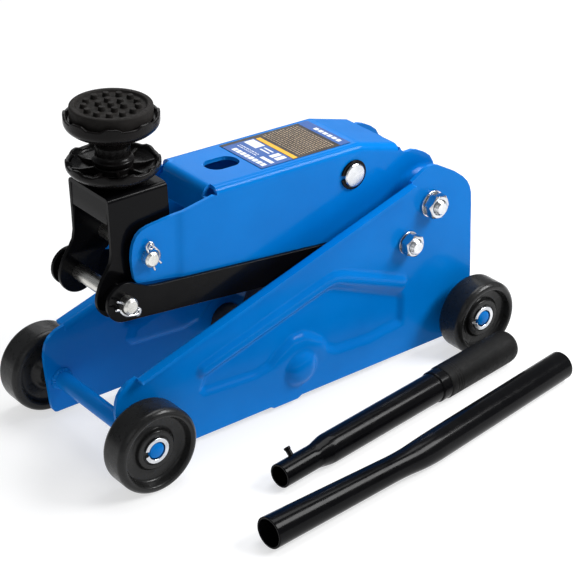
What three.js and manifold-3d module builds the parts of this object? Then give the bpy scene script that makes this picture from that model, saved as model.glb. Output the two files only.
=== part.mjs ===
// Hydraulic floor jack with its two-piece handle lying beside it.
// Millimetres, +Z up, +X towards the rear wheels, -Y is the near side.
import * as THREE from "three";
import { mergeVertices } from "three/addons/utils/BufferGeometryUtils.js";
import Module from "manifold-3d";

const wasm = await Module();
wasm.setup();

// ---------------------------------------------------------------- driving dimensions
const clearance = 0.3;
const rad = Math.PI / 180;

// The front axle stands at x = 0 of the jack; this moves the jack into the shared frame.
const jackOrigin = { x: -215.7, y: 73.5 };

const frontAxle = { x: 0, z: 45 };
const rearAxle = { x: 424.4, z: 41.8 };
const axleRadius = 9;
const wheelInnerFace = 77.4;
const wheelOuterFace = 109.7;

const plateInner = 61;
const plateOuter = 65;
const flangeReach = 10;
const plateGauge = 4;

const armPivot = { x: 376.6, z: 176.8 };
const linkPivot = { x: 345.4, z: 141.4 };
const upperHead = { x: 38.8, z: 212.5 };
const lowerHead = {
  x: upperHead.x + linkPivot.x - armPivot.x,
  z: upperHead.z + linkPivot.z - armPivot.z,
};
const ramPinAxis = { x: 286.2, z: 227.5 };
const trunnion = { x: 206, z: 41.2 };

const boltRadius = 8;
const headPinRadius = 8;
const ramPinRadius = 12.5;
const sleeveRadius = 16;

const armOuter = 44.5;
const armGauge = 4;
const earOuter = 42.5;
const linkInner = 44.9;
const linkGauge = 5;
const linkBossRadius = 14;
const linkEndRadius = 20;
const linkTopEdge = 11;
const bracketOuter = 33.5;

const saddleX = 32;
const bracketTop = 277.5;
const bracketFront = 2.8;
const bracketRear = 68.5;

const unitTilt = Math.atan2(ramPinAxis.x - trunnion.x, ramPinAxis.z - trunnion.z);
const unitReach = Math.hypot(ramPinAxis.x - trunnion.x, ramPinAxis.z - trunnion.z);
const tubeSeat = 24;
const tubeTop = 129;
const nutTop = 144;
const ramRadius = 15.7;
const cylinderBore = 16.2;

const socketPivot = { x: 352, z: 66 };
const socketAngle = 27 * rad;
const socketStart = 22;
const socketLength = 130;
const socketOuter = 19;
const socketBore = 15.8;
const plungerX = 386;
const plungerRadius = 8;

const upperHandle = { x: 92.4, y: -174, yaw: 6.8 * rad };
const lowerHandle = { x: 26.6, y: -240.7, length: 429, yaw: 3.4 * rad };

// ---------------------------------------------------------------- materials
function paint(color, roughness, metalness) {
  return new THREE.MeshStandardMaterial({ color, roughness, metalness });
}
const bluePaint = () => paint(0x0d6fd1, 0.28, 0.1);
const blackPaint = () => paint(0x0b0b0c, 0.25, 0.1);
const blackWheel = () => paint(0x101012, 0.4, 0);
const zinc = () => paint(0xc9ccd0, 0.3, 0.9);
const steel = () => paint(0x8f9296, 0.35, 0.9);
const castIron = () => paint(0x2c2d30, 0.6, 0.3);
const rubber = () => paint(0x1a1a1b, 0.85, 0);
const decal = () => paint(0x141416, 0.5, 0);

// ---------------------------------------------------------------- solids
function toManifold(geometry) {
  const bare = new THREE.BufferGeometry();
  bare.setAttribute("position", geometry.getAttribute("position"));
  if (geometry.index) bare.setIndex(geometry.index);
  const merged = mergeVertices(bare, 1e-4);
  const place = merged.getAttribute("position").array;
  const corners = merged.index.array;
  const kept = [];
  for (let i = 0; i < corners.length; i += 3) {
    const [a, b, c] = [corners[i], corners[i + 1], corners[i + 2]];
    if (a !== b && b !== c && c !== a) kept.push(a, b, c);
  }
  const triVerts = new Uint32Array(kept);
  const vertProperties = new Float32Array(place);
  const solid = new wasm.Manifold(new wasm.Mesh({ numProp: 3, vertProperties, triVerts }));
  if (solid.volume() > 0) return solid;
  for (let i = 0; i < triVerts.length; i += 3) {
    [triVerts[i], triVerts[i + 1]] = [triVerts[i + 1], triVerts[i]];
  }
  return new wasm.Manifold(new wasm.Mesh({ numProp: 3, vertProperties, triVerts }));
}

function toGeometry(solid) {
  const mesh = solid.getMesh();
  const geometry = new THREE.BufferGeometry();
  const place = new Float32Array(mesh.numVert * 3);
  for (let i = 0; i < mesh.numVert; i++) {
    for (let k = 0; k < 3; k++) place[3 * i + k] = mesh.vertProperties[i * mesh.numProp + k];
  }
  geometry.setAttribute("position", new THREE.BufferAttribute(place, 3));
  geometry.setIndex(new THREE.BufferAttribute(new Uint32Array(mesh.triVerts), 1));
  geometry.computeVertexNormals();
  return geometry;
}

const join = (solids) => solids.reduce((whole, next) => whole.add(next));
const cut = (solid, tools) => tools.reduce((whole, next) => whole.subtract(next), solid);

// A side-view outline (x, z) given thickness along Y.
function slab(shape, yLow, yHigh, curveSegments = 5) {
  const geometry = new THREE.ExtrudeGeometry(shape, {
    depth: yHigh - yLow,
    bevelEnabled: false,
    curveSegments,
  });
  return toManifold(geometry.rotateX(Math.PI / 2).translate(0, yHigh, 0));
}

function block(xLow, xHigh, yLow, yHigh, zLow, zHigh) {
  const geometry = new THREE.BoxGeometry(xHigh - xLow, yHigh - yLow, zHigh - zLow);
  geometry.translate((xLow + xHigh) / 2, (yLow + yHigh) / 2, (zLow + zHigh) / 2);
  return toManifold(geometry);
}

// A round bar along Y.
function rod(radius, at, yLow, yHigh, segments = 14) {
  const geometry = new THREE.CylinderGeometry(radius, radius, yHigh - yLow, segments);
  return toManifold(geometry.translate(at.x, (yLow + yHigh) / 2, at.z));
}

function ring(outer, inner, at, yLow, yHigh, segments = 14) {
  return rod(outer, at, yLow, yHigh, segments).subtract(rod(inner, at, yLow - 1, yHigh + 1, segments));
}

// A profile of [radius, height] pairs turned about the vertical Z axis.
function turned(profile, segments = 20) {
  const points = profile.map(([radius, height]) => new THREE.Vector2(radius, height));
  return new THREE.LatheGeometry(points, segments).rotateX(Math.PI / 2);
}

// The same, closed on itself, for rings.
function turnedRing(profile, segments = 20) {
  return toManifold(turned([...profile, profile[0]], segments));
}

function outline(points) {
  return new THREE.Shape(points.map(([x, z]) => new THREE.Vector2(x, z)));
}

function mirrorY(solid) {
  return solid.mirror([0, 1, 0]);
}

// ---------------------------------------------------------------- scene graph
const jack = new THREE.Group();
jack.position.set(jackOrigin.x, jackOrigin.y, 0);
const floorJack = new THREE.Group();
floorJack.add(jack);

function add(name, solid, material, parent = jack) {
  const geometry = solid.isBufferGeometry ? solid : toGeometry(solid);
  const mesh = new THREE.Mesh(geometry, material);
  mesh.name = name;
  parent.add(mesh);
}

// ---------------------------------------------------------------- side plates
const flangeFront = { x: 6.6, z: 103.8 };
const flangeRear = { x: 348.5, z: 208.8 };
const domeRadius = 26;
const domeHeight = 8.5;
const panelDepth = 2.5;

function sidePlateOutline() {
  const shape = new THREE.Shape();
  shape.moveTo(-8, 8);
  shape.lineTo(168, 8);
  shape.lineTo(172, 5.5);
  shape.lineTo(203, 5.5);
  shape.lineTo(208, 8.5);
  shape.lineTo(434, 8.5);
  shape.quadraticCurveTo(440, 8.5, 440, 14);
  shape.lineTo(439, 80);
  shape.lineTo(434.5, 172);
  shape.quadraticCurveTo(433, 190, 408, 203.5);
  shape.lineTo(388, 215.5);
  shape.quadraticCurveTo(378, 221, 368, 217);
  shape.lineTo(flangeRear.x, flangeRear.z);
  shape.lineTo(flangeFront.x, flangeFront.z);
  shape.quadraticCurveTo(-19, 97, -19, 80);
  return shape;
}

function topFlange() {
  const length = Math.hypot(flangeRear.x - flangeFront.x, flangeRear.z - flangeFront.z);
  const slope = Math.atan2(flangeRear.z - flangeFront.z, flangeRear.x - flangeFront.x);
  const strip = new THREE.BoxGeometry(length, flangeReach + plateGauge, plateGauge);
  strip.translate(length / 2, -plateInner - (flangeReach + plateGauge) / 2, -plateGauge / 2);
  strip.rotateY(-slope).translate(flangeFront.x, 0, flangeFront.z);
  return toManifold(strip);
}

// The pressed dome that holds a trunnion of the power unit, bulging away from the plate.
function dome(radius, height, base) {
  const profile = [[0, -2], [radius, -2], [radius * 0.93, height * 0.55], [radius * 0.6, height * 0.92], [0, height]];
  return toManifold(turned(profile, 16).rotateX(Math.PI / 2).translate(trunnion.x, -base, trunnion.z));
}

// The stiffening bead, a raised bar that runs up the plate and turns level at its rear end.
function bead(width, yLow, yHigh) {
  const half = width / 2;
  const shape = outline([
    [78 - half, 82], [80, 82 - half], [84, 82 - half], [240, 130 - half], [252, 130 - half],
    [342, 92 - half], [342, 92 + half], [256, 130 + half], [238, 130 + half], [80, 82 + half],
  ]);
  return slab(shape, yLow, yHigh);
}

// The recessed panel under the bead, its outline moved outwards by `grow`.
function panelOutline(grow) {
  const corners = [
    [88, 71], [238, 114], [250, 114], [339, 77], [342, 44], [299, 40], [253, 43], [241, 50], [233, 62],
    [211, 77], [196, 77], [183, 69], [168, 55], [122, 53], [86, 55],
  ];
  const count = corners.length;
  return outline(corners.map(([x, z], i) => {
    const before = corners[(i + count - 1) % count];
    const after = corners[(i + 1) % count];
    const [dx, dz] = [after[0] - before[0], after[1] - before[1]];
    const length = Math.hypot(dx, dz);
    return [x - (grow * dz) / length, z + (grow * dx) / length];
  }));
}

function sidePlate() {
  const raised = join([
    slab(sidePlateOutline(), -plateOuter, -plateInner, 5),
    slab(panelOutline(panelDepth), -plateInner - 1, -plateInner + panelDepth),
    topFlange(),
    dome(domeRadius, domeHeight, plateOuter),
    bead(14, -plateOuter - 2.5, -plateInner - 1),
  ]);
  const holes = [
    dome(domeRadius - plateGauge, domeHeight - 3.5, plateOuter - plateGauge + 1),
    bead(9, -plateOuter + 1.2, -plateInner + 1),
    slab(panelOutline(0), -plateOuter - 1, -plateOuter + panelDepth),
    rod(domeRadius - plateGauge, trunnion, -plateInner - 0.5, -plateInner + 1),
    rod(axleRadius + clearance, frontAxle, -plateOuter - 1, -plateInner + 1),
    rod(axleRadius + clearance, rearAxle, -plateOuter - 1, -plateInner + 1),
    rod(boltRadius + clearance, armPivot, -plateOuter - 1, -plateInner + 1),
    rod(boltRadius + clearance, linkPivot, -plateOuter - 1, -plateInner + 1),
  ];
  return cut(raised, holes);
}

const nearPlate = sidePlate();
add("side_plate_left", nearPlate, bluePaint());
add("side_plate_right", mirrorY(nearPlate), bluePaint());

// ---------------------------------------------------------------- axles and wheels
const axleEnd = 106;
add("front_axle", rod(axleRadius, frontAxle, -axleEnd, axleEnd), bluePaint());
add("rear_axle", rod(axleRadius, rearAxle, -axleEnd, axleEnd), bluePaint());

function wheel(radius) {
  const bore = axleRadius + clearance;
  const inner = wheelInnerFace;
  const outer = wheelOuterFace;
  const profile = [
    [bore, plateOuter + 0.6], [13, plateOuter + 0.6], [13, inner], [20, inner + 7], [radius - 10, inner + 7],
    [radius - 9, inner + 1], [radius - 4, inner + 1], [radius, inner + 5], [radius, outer - 4],
    [radius - 4, outer], [radius - 8.5, outer], [radius - 11, outer - 9], [21.5, outer - 11], [20, outer - 6.5],
    [bore, outer - 6.5],
  ];
  const points = [...profile, profile[0]].map(([r, y]) => new THREE.Vector2(r, y));
  return toManifold(new THREE.LatheGeometry(points, 20));
}

const hubFace = wheelOuterFace - 6.5;
for (const [end, axle, radius] of [["front", frontAxle, frontAxle.z], ["rear", rearAxle, rearAxle.z]]) {
  const far = wheel(radius).translate([axle.x, 0, axle.z]);
  add(`${end}_wheel_right`, far, blackWheel());
  add(`${end}_wheel_left`, mirrorY(far), blackWheel());
  const retainer = ring(13.5, axleRadius + 0.2, axle, hubFace + clearance, hubFace + 2.3);
  add(`${end}_axle_ring_right`, retainer, zinc());
  add(`${end}_axle_ring_left`, mirrorY(retainer), zinc());
}

// ---------------------------------------------------------------- pivot bolts
function hexPrism(acrossFlats, at, yLow, yHigh) {
  const corner = acrossFlats / 2 / Math.cos(Math.PI / 6);
  return rod(corner, at, yLow, yHigh, 6);
}

function pivotFasteners(prefix, at, acrossFlats, washerRadius) {
  const boltEnd = -plateOuter - 20;
  const headFace = plateOuter + clearance;
  const head = rod(washerRadius, at, headFace, headFace + 2.5).add(hexPrism(acrossFlats, at, headFace, headFace + 11));
  add(`${prefix}_bolt`, rod(boltRadius, at, boltEnd, headFace + 1).add(head), zinc());
  const nut = hexPrism(acrossFlats, at, -plateOuter - 16, -plateOuter - 3);
  add(`${prefix}_nut`, nut.subtract(rod(boltRadius + 0.2, at, -100, 0)), zinc());
  const washer = ring(washerRadius, boltRadius + clearance, at, -plateOuter - 2.6, -plateOuter - clearance);
  add(`${prefix}_washer`, washer, zinc());
}
pivotFasteners("arm_pivot", armPivot, 24, 15.5);
pivotFasteners("link_pivot", linkPivot, 22, 13.5);

// Spacer tubes keep an arm or a link midway between the side plates.
function spacerTubes(prefix, at, radius, armFace) {
  const tube = ring(radius, boltRadius + clearance, at, armFace + clearance, plateInner - clearance);
  add(`${prefix}_spacer_right`, tube, zinc());
  add(`${prefix}_spacer_left`, mirrorY(tube), zinc());
}
spacerTubes("arm_pivot", armPivot, 12.5, armOuter);
spacerTubes("link_pivot", linkPivot, 10.5, linkInner + linkGauge);

// ---------------------------------------------------------------- lift arm
const armTopFront = { x: 118, z: 261 };
const armTopBend = { x: 298, z: 256.5 };
const armTopRear = { x: 347, z: 243 };
const armBossRadius = 30;
const foldRadius = 8;
const joggleX = 75;
const lipFoot = 226;
const lipHalf = 33;

// Side view of one arm cheek, its top edge `drop` below the top of the folded channel.
function armCheekOutline(drop) {
  const shape = new THREE.Shape();
  shape.moveTo(24, 189);
  shape.quadraticCurveTo(17, 243, 44, 243.5);
  shape.lineTo(72, 246.5);
  shape.lineTo(armTopFront.x - 2, 254 - drop / 4);
  shape.lineTo(armTopFront.x + 1, armTopFront.z - drop);
  shape.lineTo(armTopBend.x, armTopBend.z - drop);
  shape.lineTo(armTopRear.x, armTopRear.z - drop);
  shape.quadraticCurveTo(352, 233, 362, 233.5);
  shape.quadraticCurveTo(397, 232, 398, 195);
  shape.lineTo(400, 172);
  shape.absarc(armPivot.x, armPivot.z, armBossRadius, -0.2, -2.75, true);
  shape.lineTo(322, 159);
  shape.lineTo(300, 152.5);
  shape.lineTo(225, 160);
  shape.lineTo(101, 175);
  return shape;
}

// An inverted U, folded with rounded corners, laid between two points of the side view.
function foldedChannel(from, to, legDepth) {
  const half = armOuter - foldRadius;
  const inner = armOuter - armGauge;
  const shape = new THREE.Shape();
  shape.moveTo(armOuter, -legDepth);
  shape.lineTo(armOuter, -foldRadius);
  shape.absarc(half, -foldRadius, foldRadius, 0, Math.PI / 2, false);
  shape.lineTo(-half, 0);
  shape.absarc(-half, -foldRadius, foldRadius, Math.PI / 2, Math.PI, false);
  shape.lineTo(-armOuter, -legDepth);
  shape.lineTo(-inner, -legDepth);
  shape.lineTo(-inner, -foldRadius);
  shape.absarc(-half, -foldRadius, foldRadius - armGauge, Math.PI, Math.PI / 2, true);
  shape.lineTo(half, -armGauge);
  shape.absarc(half, -foldRadius, foldRadius - armGauge, Math.PI / 2, 0, true);
  shape.lineTo(inner, -legDepth);
  const length = Math.hypot(to.x - from.x, to.z - from.z);
  const slope = Math.atan2(to.z - from.z, to.x - from.x);
  const geometry = new THREE.ExtrudeGeometry(shape, { depth: length, bevelEnabled: false, curveSegments: 3 });
  const lieAlongX = new THREE.Matrix4().makeBasis(
    new THREE.Vector3(0, 1, 0), new THREE.Vector3(0, 0, 1), new THREE.Vector3(1, 0, 0));
  geometry.applyMatrix4(lieAlongX).rotateY(-slope).translate(from.x, 0, from.z);
  return toManifold(geometry);
}

function liftArm() {
  const cheek = slab(armCheekOutline(foldRadius + 2), -armOuter, -armOuter + armGauge);
  const ear = slab(armCheekOutline(foldRadius + 2), -earOuter, -earOuter + armGauge);
  const nearCheek = cheek.intersect(block(joggleX - 5, 420, -60, 0, 100, 300));
  const nearEar = ear.intersect(block(0, joggleX + 5, -60, 0, 100, 300));
  const lip = outline([
    [120, 261], [114, 259.5], [110, 255], [109.5, lipFoot], [113.3, lipFoot], [114, 253.5],
    [116.5, 256.6], [120, 257],
  ]);
  const whole = join([
    nearCheek, nearEar, mirrorY(nearCheek), mirrorY(nearEar),
    foldedChannel(armTopFront, armTopBend, 14),
    foldedChannel(armTopBend, armTopRear, 12),
    slab(lip, -lipHalf, lipHalf),
  ]);
  const slotCentre = 156;
  const slotHalfStraight = 6.5;
  const slotRadius = 12.5;
  const slotEnds = [-slotHalfStraight, slotHalfStraight].map((offset) => toManifold(
    new THREE.CylinderGeometry(slotRadius, slotRadius, 30, 16).rotateX(Math.PI / 2).translate(slotCentre + offset, 0, 260)));
  const slotMiddle = block(slotCentre - slotHalfStraight, slotCentre + slotHalfStraight, -slotRadius, slotRadius, 245, 275);
  return cut(whole, [
    ...slotEnds, slotMiddle,
    rod(headPinRadius + clearance, upperHead, -60, 60),
    rod(ramPinRadius + clearance, ramPinAxis, -60, 60),
    rod(boltRadius + clearance, armPivot, -60, 60),
  ]);
}
add("lift_arm", liftArm(), bluePaint());

const ramPinEnd = armOuter + 5;
const ramPinHead = rod(15.5, ramPinAxis, armOuter + clearance, ramPinEnd);
add("ram_pin", rod(ramPinRadius, ramPinAxis, -ramPinEnd, ramPinEnd).add(ramPinHead), zinc());
const ramPinRing = ring(15.5, ramPinRadius + 0.2, ramPinAxis, -armOuter - 2.2, -armOuter - clearance);
add("ram_pin_ring", ramPinRing, blackPaint());
const sleeveHalf = armOuter - armGauge - 1;
add("ram_pin_sleeve", ring(sleeveRadius, ramPinRadius + clearance, ramPinAxis, -sleeveHalf, sleeveHalf), steel());

// A thin label sheet laid on the top of the arm, with a gap of one clearance.
const labelSlope = Math.atan2(armTopBend.z - armTopFront.z, armTopBend.x - armTopFront.x);
const labelSheet = new THREE.BoxGeometry(112, 68, 0.4);
labelSheet.translate(armTopBend.x - armTopFront.x - 63, 0, clearance + 0.2);
labelSheet.rotateY(-labelSlope).translate(armTopFront.x, 0, armTopFront.z);
add("arm_label", labelSheet, decal());

// ---------------------------------------------------------------- head pins and hairpin clips
const clipWire = 1.2;

// A headed pin along Y with a cross hole for its clip near the near-side end.
function headPin(at, nearEnd, farFace, clipY, clipTurn) {
  const shank = rod(headPinRadius, at, -nearEnd, farFace + 0.5, 20);
  const head = rod(headPinRadius + 3, at, farFace, farFace + 4, 20);
  const hole = new THREE.CylinderGeometry(clipWire + 0.3, clipWire + 0.3, 40, 8);
  hole.rotateX(Math.PI / 2).rotateY(clipTurn).translate(at.x, -clipY, at.z);
  return shank.add(head).subtract(toManifold(hole));
}

// Straight leg through the pin, round eye, bowed leg hugging the pin's outside.
function hairpinClip(at, clipY, clipTurn) {
  const hug = headPinRadius + clipWire + 0.5;
  const path = new THREE.CurvePath();
  const points = [[0, -hug - 5], [0, hug + 2]];
  const leg = points.map(([x, z]) => new THREE.Vector3(x, 0, z));
  path.add(new THREE.LineCurve3(leg[0], leg[1]));
  const bow = [
    [0, hug + 2], [1.5, hug + 5.5], [5, hug + 6.5], [6.8, hug + 3.5], [6.3, hug - 0.5],
    [hug, 3], [hug, -2], [hug - 2.8, -hug + 3], [hug - 1, -hug - 2],
  ];
  path.add(new THREE.CatmullRomCurve3(bow.map(([x, z]) => new THREE.Vector3(x, 0, z))));
  const section = new THREE.Shape().absarc(0, 0, clipWire, 0, 2 * Math.PI, false);
  const geometry = new THREE.ExtrudeGeometry(section, { steps: 24, curveSegments: 3, extrudePath: path });
  return toManifold(geometry.rotateY(clipTurn).translate(at.x, -clipY, at.z));
}

const upperClip = { y: 46, turn: -0.33 };
const lowerClip = { y: 54.5, turn: 2.1 };
add("upper_head_pin", headPin(upperHead, 51.5, earOuter + clearance, upperClip.y, upperClip.turn), zinc());
add("upper_head_clip", hairpinClip(upperHead, upperClip.y, upperClip.turn), zinc());
add("lower_head_pin", headPin(lowerHead, 60, linkInner + linkGauge + clearance, lowerClip.y, lowerClip.turn), zinc());
add("lower_head_clip", hairpinClip(lowerHead, lowerClip.y, lowerClip.turn), zinc());

// ---------------------------------------------------------------- link arms
function linkArm() {
  const slope = Math.atan2(linkPivot.z - lowerHead.z, linkPivot.x - lowerHead.x);
  const length = Math.hypot(linkPivot.x - lowerHead.x, linkPivot.z - lowerHead.z);
  const shape = new THREE.Shape();
  shape.moveTo(18, 13);
  shape.absarc(0, 0, linkEndRadius, 0.32 * Math.PI, 1.5 * Math.PI, false);
  shape.lineTo(length, -linkEndRadius);
  shape.absarc(length, 0, linkEndRadius, 1.5 * Math.PI, 2.5 * Math.PI, false);
  shape.quadraticCurveTo(length - 16, linkTopEdge, length - 34, linkTopEdge);
  shape.lineTo(34, linkTopEdge);
  const geometry = new THREE.ExtrudeGeometry(shape, { depth: linkGauge, bevelEnabled: false, curveSegments: 6 });
  geometry.rotateX(Math.PI / 2).rotateY(-slope).translate(lowerHead.x, -linkInner, lowerHead.z);
  const boss = rod(linkBossRadius, lowerHead, -linkInner - 1, -bracketOuter - clearance);
  return cut(toManifold(geometry).add(boss), [
    rod(headPinRadius + 0.5, lowerHead, -60, 0),
    rod(boltRadius + clearance, linkPivot, -60, 0),
  ]);
}
const nearLink = linkArm();
add("link_arm_left", nearLink, blackPaint());
add("link_arm_right", mirrorY(nearLink), blackPaint());

// ---------------------------------------------------------------- saddle bracket
function saddleBracket() {
  const cheek = new THREE.Shape();
  cheek.moveTo(bracketFront, bracketTop);
  cheek.lineTo(bracketRear, bracketTop);
  cheek.lineTo(bracketRear + 2, 246);
  cheek.quadraticCurveTo(68, 214, 44, 196);
  cheek.quadraticCurveTo(30, 188, 29, 172);
  cheek.absarc(lowerHead.x, lowerHead.z, 21.5, -0.2, -3.6, true);
  cheek.quadraticCurveTo(-4, 200, bracketFront + 1.7, 225);
  const nearCheek = slab(cheek, -bracketOuter, -bracketOuter + plateGauge);
  const halfInside = bracketOuter - 1;
  const whole = join([
    nearCheek,
    mirrorY(nearCheek),
    block(bracketFront, bracketRear, -halfInside, halfInside, bracketTop - 5, bracketTop),
    block(bracketFront, bracketFront + plateGauge, -halfInside, halfInside, 250, bracketTop),
  ]);
  const stemHole = new THREE.CylinderGeometry(10.4, 10.4, 30, 18).rotateX(Math.PI / 2).translate(saddleX, 0, bracketTop);
  return cut(whole, [
    rod(headPinRadius + clearance, upperHead, -60, 60),
    rod(headPinRadius + clearance, lowerHead, -60, 60),
    toManifold(stemHole),
  ]);
}
add("saddle_bracket", saddleBracket(), blackPaint());

// ---------------------------------------------------------------- saddles and pad
const cupRadius = 44.6;
const baseRim = 300;
const padSeat = 339.5;
const extensionRim = 346.3;
const padRadius = 38.6;

function aroundAxis(count, makePiece) {
  const pieces = [];
  for (let i = 0; i < count; i++) {
    pieces.push(makePiece().rotate([0, 0, (360 / count) * (i + 0.5)]));
  }
  return pieces;
}

function rimNotches(rim, width, depth) {
  return aroundAxis(8, () => block(cupRadius - 6, cupRadius + 2, -width / 2, width / 2, rim - depth, rim + 1));
}

function baseSaddle() {
  const seat = bracketTop + clearance;
  const body = toManifold(turned([
    [0, 262], [10, 262], [10, seat], [24, seat], [28, seat + 5], [41.5, 289], [cupRadius, 292.5],
    [cupRadius, baseRim], [40.6, baseRim], [39, 294], [30, 289.3], [18.5, 288],
    [18, 294.5], [12.6, 294.5], [12.6, 285.5], [0, 285.5],
  ]));
  const ribs = aroundAxis(8, () => block(17, 41, -1.5, 1.5, 286.5, 293));
  return cut(join([body, ...ribs]), rimNotches(baseRim, 12, 2.5));
}
add("base_saddle", baseSaddle().translate([saddleX, 0, 0]), blackPaint());
const stemClip = turnedRing([[10.2, 265.5], [15, 265.5], [15, 267.2], [10.2, 267.2]], 24);
add("base_saddle_clip", stemClip.translate([saddleX, 0, 0]), steel());

function extensionSaddle() {
  const body = toManifold(turned([
    [0, 285.8], [12.2, 285.8], [12.2, 295.5], [20, 296.5], [20, 300.5], [16.5, 303.5], [16.5, 317.5],
    [24, 323], [38, 328.5], [cupRadius, 334], [cupRadius, extensionRim], [41.2, extensionRim],
    [40.2, padSeat], [0, padSeat],
  ]));
  return cut(body, rimNotches(extensionRim, 10, 2.5));
}
add("extension_saddle", extensionSaddle().translate([saddleX, 0, 0]), blackPaint());

function rubberPad() {
  const floor = padSeat + clearance;
  const base = toManifold(turned([
    [0, floor], [padRadius - 1.3, floor], [padRadius, 342.5], [padRadius, 352.5], [padRadius - 1.3, 354],
    [34.5, 354], [33.5, 351], [0, 351],
  ]));
  const studs = [];
  for (const [count, radius] of [[1, 0], [6, 12], [13, 25]]) {
    for (let i = 0; i < count; i++) {
      const angle = (2 * Math.PI * i) / count;
      const stud = new THREE.CylinderGeometry(3, 3.6, 4.5, 6).rotateX(Math.PI / 2);
      studs.push(toManifold(stud.translate(radius * Math.cos(angle), radius * Math.sin(angle), 352.7)));
    }
  }
  return join([base, ...studs]);
}
add("rubber_pad", rubberPad().translate([saddleX, 0, 0]), rubber());

// ---------------------------------------------------------------- power unit
// Pieces of the tilted cylinder are made upright about the trunnion, then leaned back.
function leaned(solid) {
  return solid.rotate([0, unitTilt / rad, 0]).translate([trunnion.x, 0, trunnion.z]);
}

const trunnionRadius = 19.5;
const bodyHalf = 30;
const valveHeight = 48;

function pumpBody() {
  const shape = new THREE.Shape();
  shape.moveTo(184, 20);
  shape.lineTo(400, 20);
  shape.lineTo(402, 22);
  shape.lineTo(402, 44);
  shape.lineTo(372, 44);
  shape.lineTo(330, 54);
  shape.lineTo(250, 58);
  shape.lineTo(232, 66);
  shape.lineTo(186, 60);
  shape.lineTo(176, 44);
  const lug = new THREE.Shape();
  lug.moveTo(332, 46);
  lug.lineTo(376, 42);
  lug.lineTo(364, 70);
  lug.absarc(socketPivot.x, socketPivot.z, 13, 0.3, 2.9, false);
  const seatCollar = turned([[0, 2], [38, 2], [38, tubeSeat], [0, tubeSeat]], 28);
  const valveBoss = new THREE.CylinderGeometry(10, 10, 26, 20).rotateZ(Math.PI / 2).translate(387, -21, valveHeight);
  const whole = join([
    slab(shape, -bodyHalf, bodyHalf),
    slab(lug, -12, 12),
    leaned(toManifold(seatCollar)),
    rod(trunnionRadius, trunnion, -plateInner - 3, plateInner + 3, 20),
    toManifold(valveBoss),
  ]);
  const plungerBore = turned([[0, 24], [13.3, 24], [13.3, 45.5], [15, 45.5], [15, 70], [0, 70]], 24);
  const valveBore = new THREE.CylinderGeometry(5.3, 5.3, 40, 16).rotateZ(Math.PI / 2).translate(400, -21, valveHeight);
  const plugBore = new THREE.CylinderGeometry(6.3, 6.3, 30, 16).translate(290, -bodyHalf, 38);
  const tubeWell = turned([[0, tubeSeat], [32.6, tubeSeat], [32.6, tubeTop], [0, tubeTop]], 28);
  return cut(whole, [
    rod(6 + clearance, socketPivot, -20, 20, 16),
    leaned(toManifold(tubeWell)),
    toManifold(plungerBore.translate(plungerX, 0, 0)), toManifold(valveBore), toManifold(plugBore),
  ]);
}
add("pump_body", pumpBody(), castIron());

const tubeFoot = tubeSeat + clearance;
const plugHeight = 104;
function reservoirTube() {
  const wall = turnedRing([[28.5, tubeFoot], [32, tubeFoot], [32, tubeTop], [28.5, tubeTop]], 28);
  const hole = new THREE.CylinderGeometry(4.6, 4.6, 20, 16).rotateZ(Math.PI / 2).translate(-30, 0, plugHeight);
  return wall.subtract(toManifold(hole));
}
add("reservoir_tube", leaned(reservoirTube()), castIron());
const pressureWall = [[cylinderBore, tubeFoot], [22, tubeFoot], [22, tubeTop], [cylinderBore, tubeTop]];
add("pressure_cylinder", leaned(turnedRing(pressureWall)), steel());
const nutFoot = tubeTop + clearance;
const topNut = [[cylinderBore, nutFoot], [32, nutFoot], [32, nutTop - 3], [29, nutTop], [cylinderBore, nutTop]];
add("cylinder_top_nut", leaned(turnedRing(topNut)), blackPaint());

function fillerPlug() {
  const stem = new THREE.CylinderGeometry(4.3, 4.3, 8, 16).rotateZ(Math.PI / 2).translate(-31, 0, plugHeight);
  const head = new THREE.CylinderGeometry(6.5, 6.5, 2.5, 16).rotateZ(Math.PI / 2).translate(-34, 0, plugHeight);
  return toManifold(stem).add(toManifold(head));
}
add("filler_plug", leaned(fillerPlug()), rubber());

function pumpBarrel() {
  const wall = [[plungerRadius + 0.2, 24.3], [13, 24.3], [13, 46], [14.5, 46], [14.5, 52], [plungerRadius + 0.2, 52]];
  return turnedRing(wall, 24).translate([plungerX, 0, 0]);
}
add("pump_barrel", pumpBarrel(), steel());
const plungerProfile = [[0, 26], [plungerRadius - 1, 26], [plungerRadius, 27], [plungerRadius, 56], [6, 57.5], [0, 57.5]];
add("pump_plunger", toManifold(turned(plungerProfile, 20)).translate([plungerX, 0, 0]), steel());

function overloadPlug() {
  const at = { x: 290, z: 38 };
  return hexPrism(16, at, -bodyHalf - 6, -bodyHalf - clearance).add(rod(6, at, -bodyHalf - 1, -bodyHalf + 10, 16));
}
add("overload_valve_plug", overloadPlug(), zinc());

function releaseValve() {
  const stem = new THREE.CylinderGeometry(5, 5, 26, 16).rotateZ(Math.PI / 2).translate(395, -21, valveHeight);
  const crossPin = new THREE.CylinderGeometry(1.8, 1.8, 16, 8).translate(405, -21, valveHeight);
  return toManifold(stem).add(toManifold(crossPin));
}
add("release_valve", releaseValve(), zinc());

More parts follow.
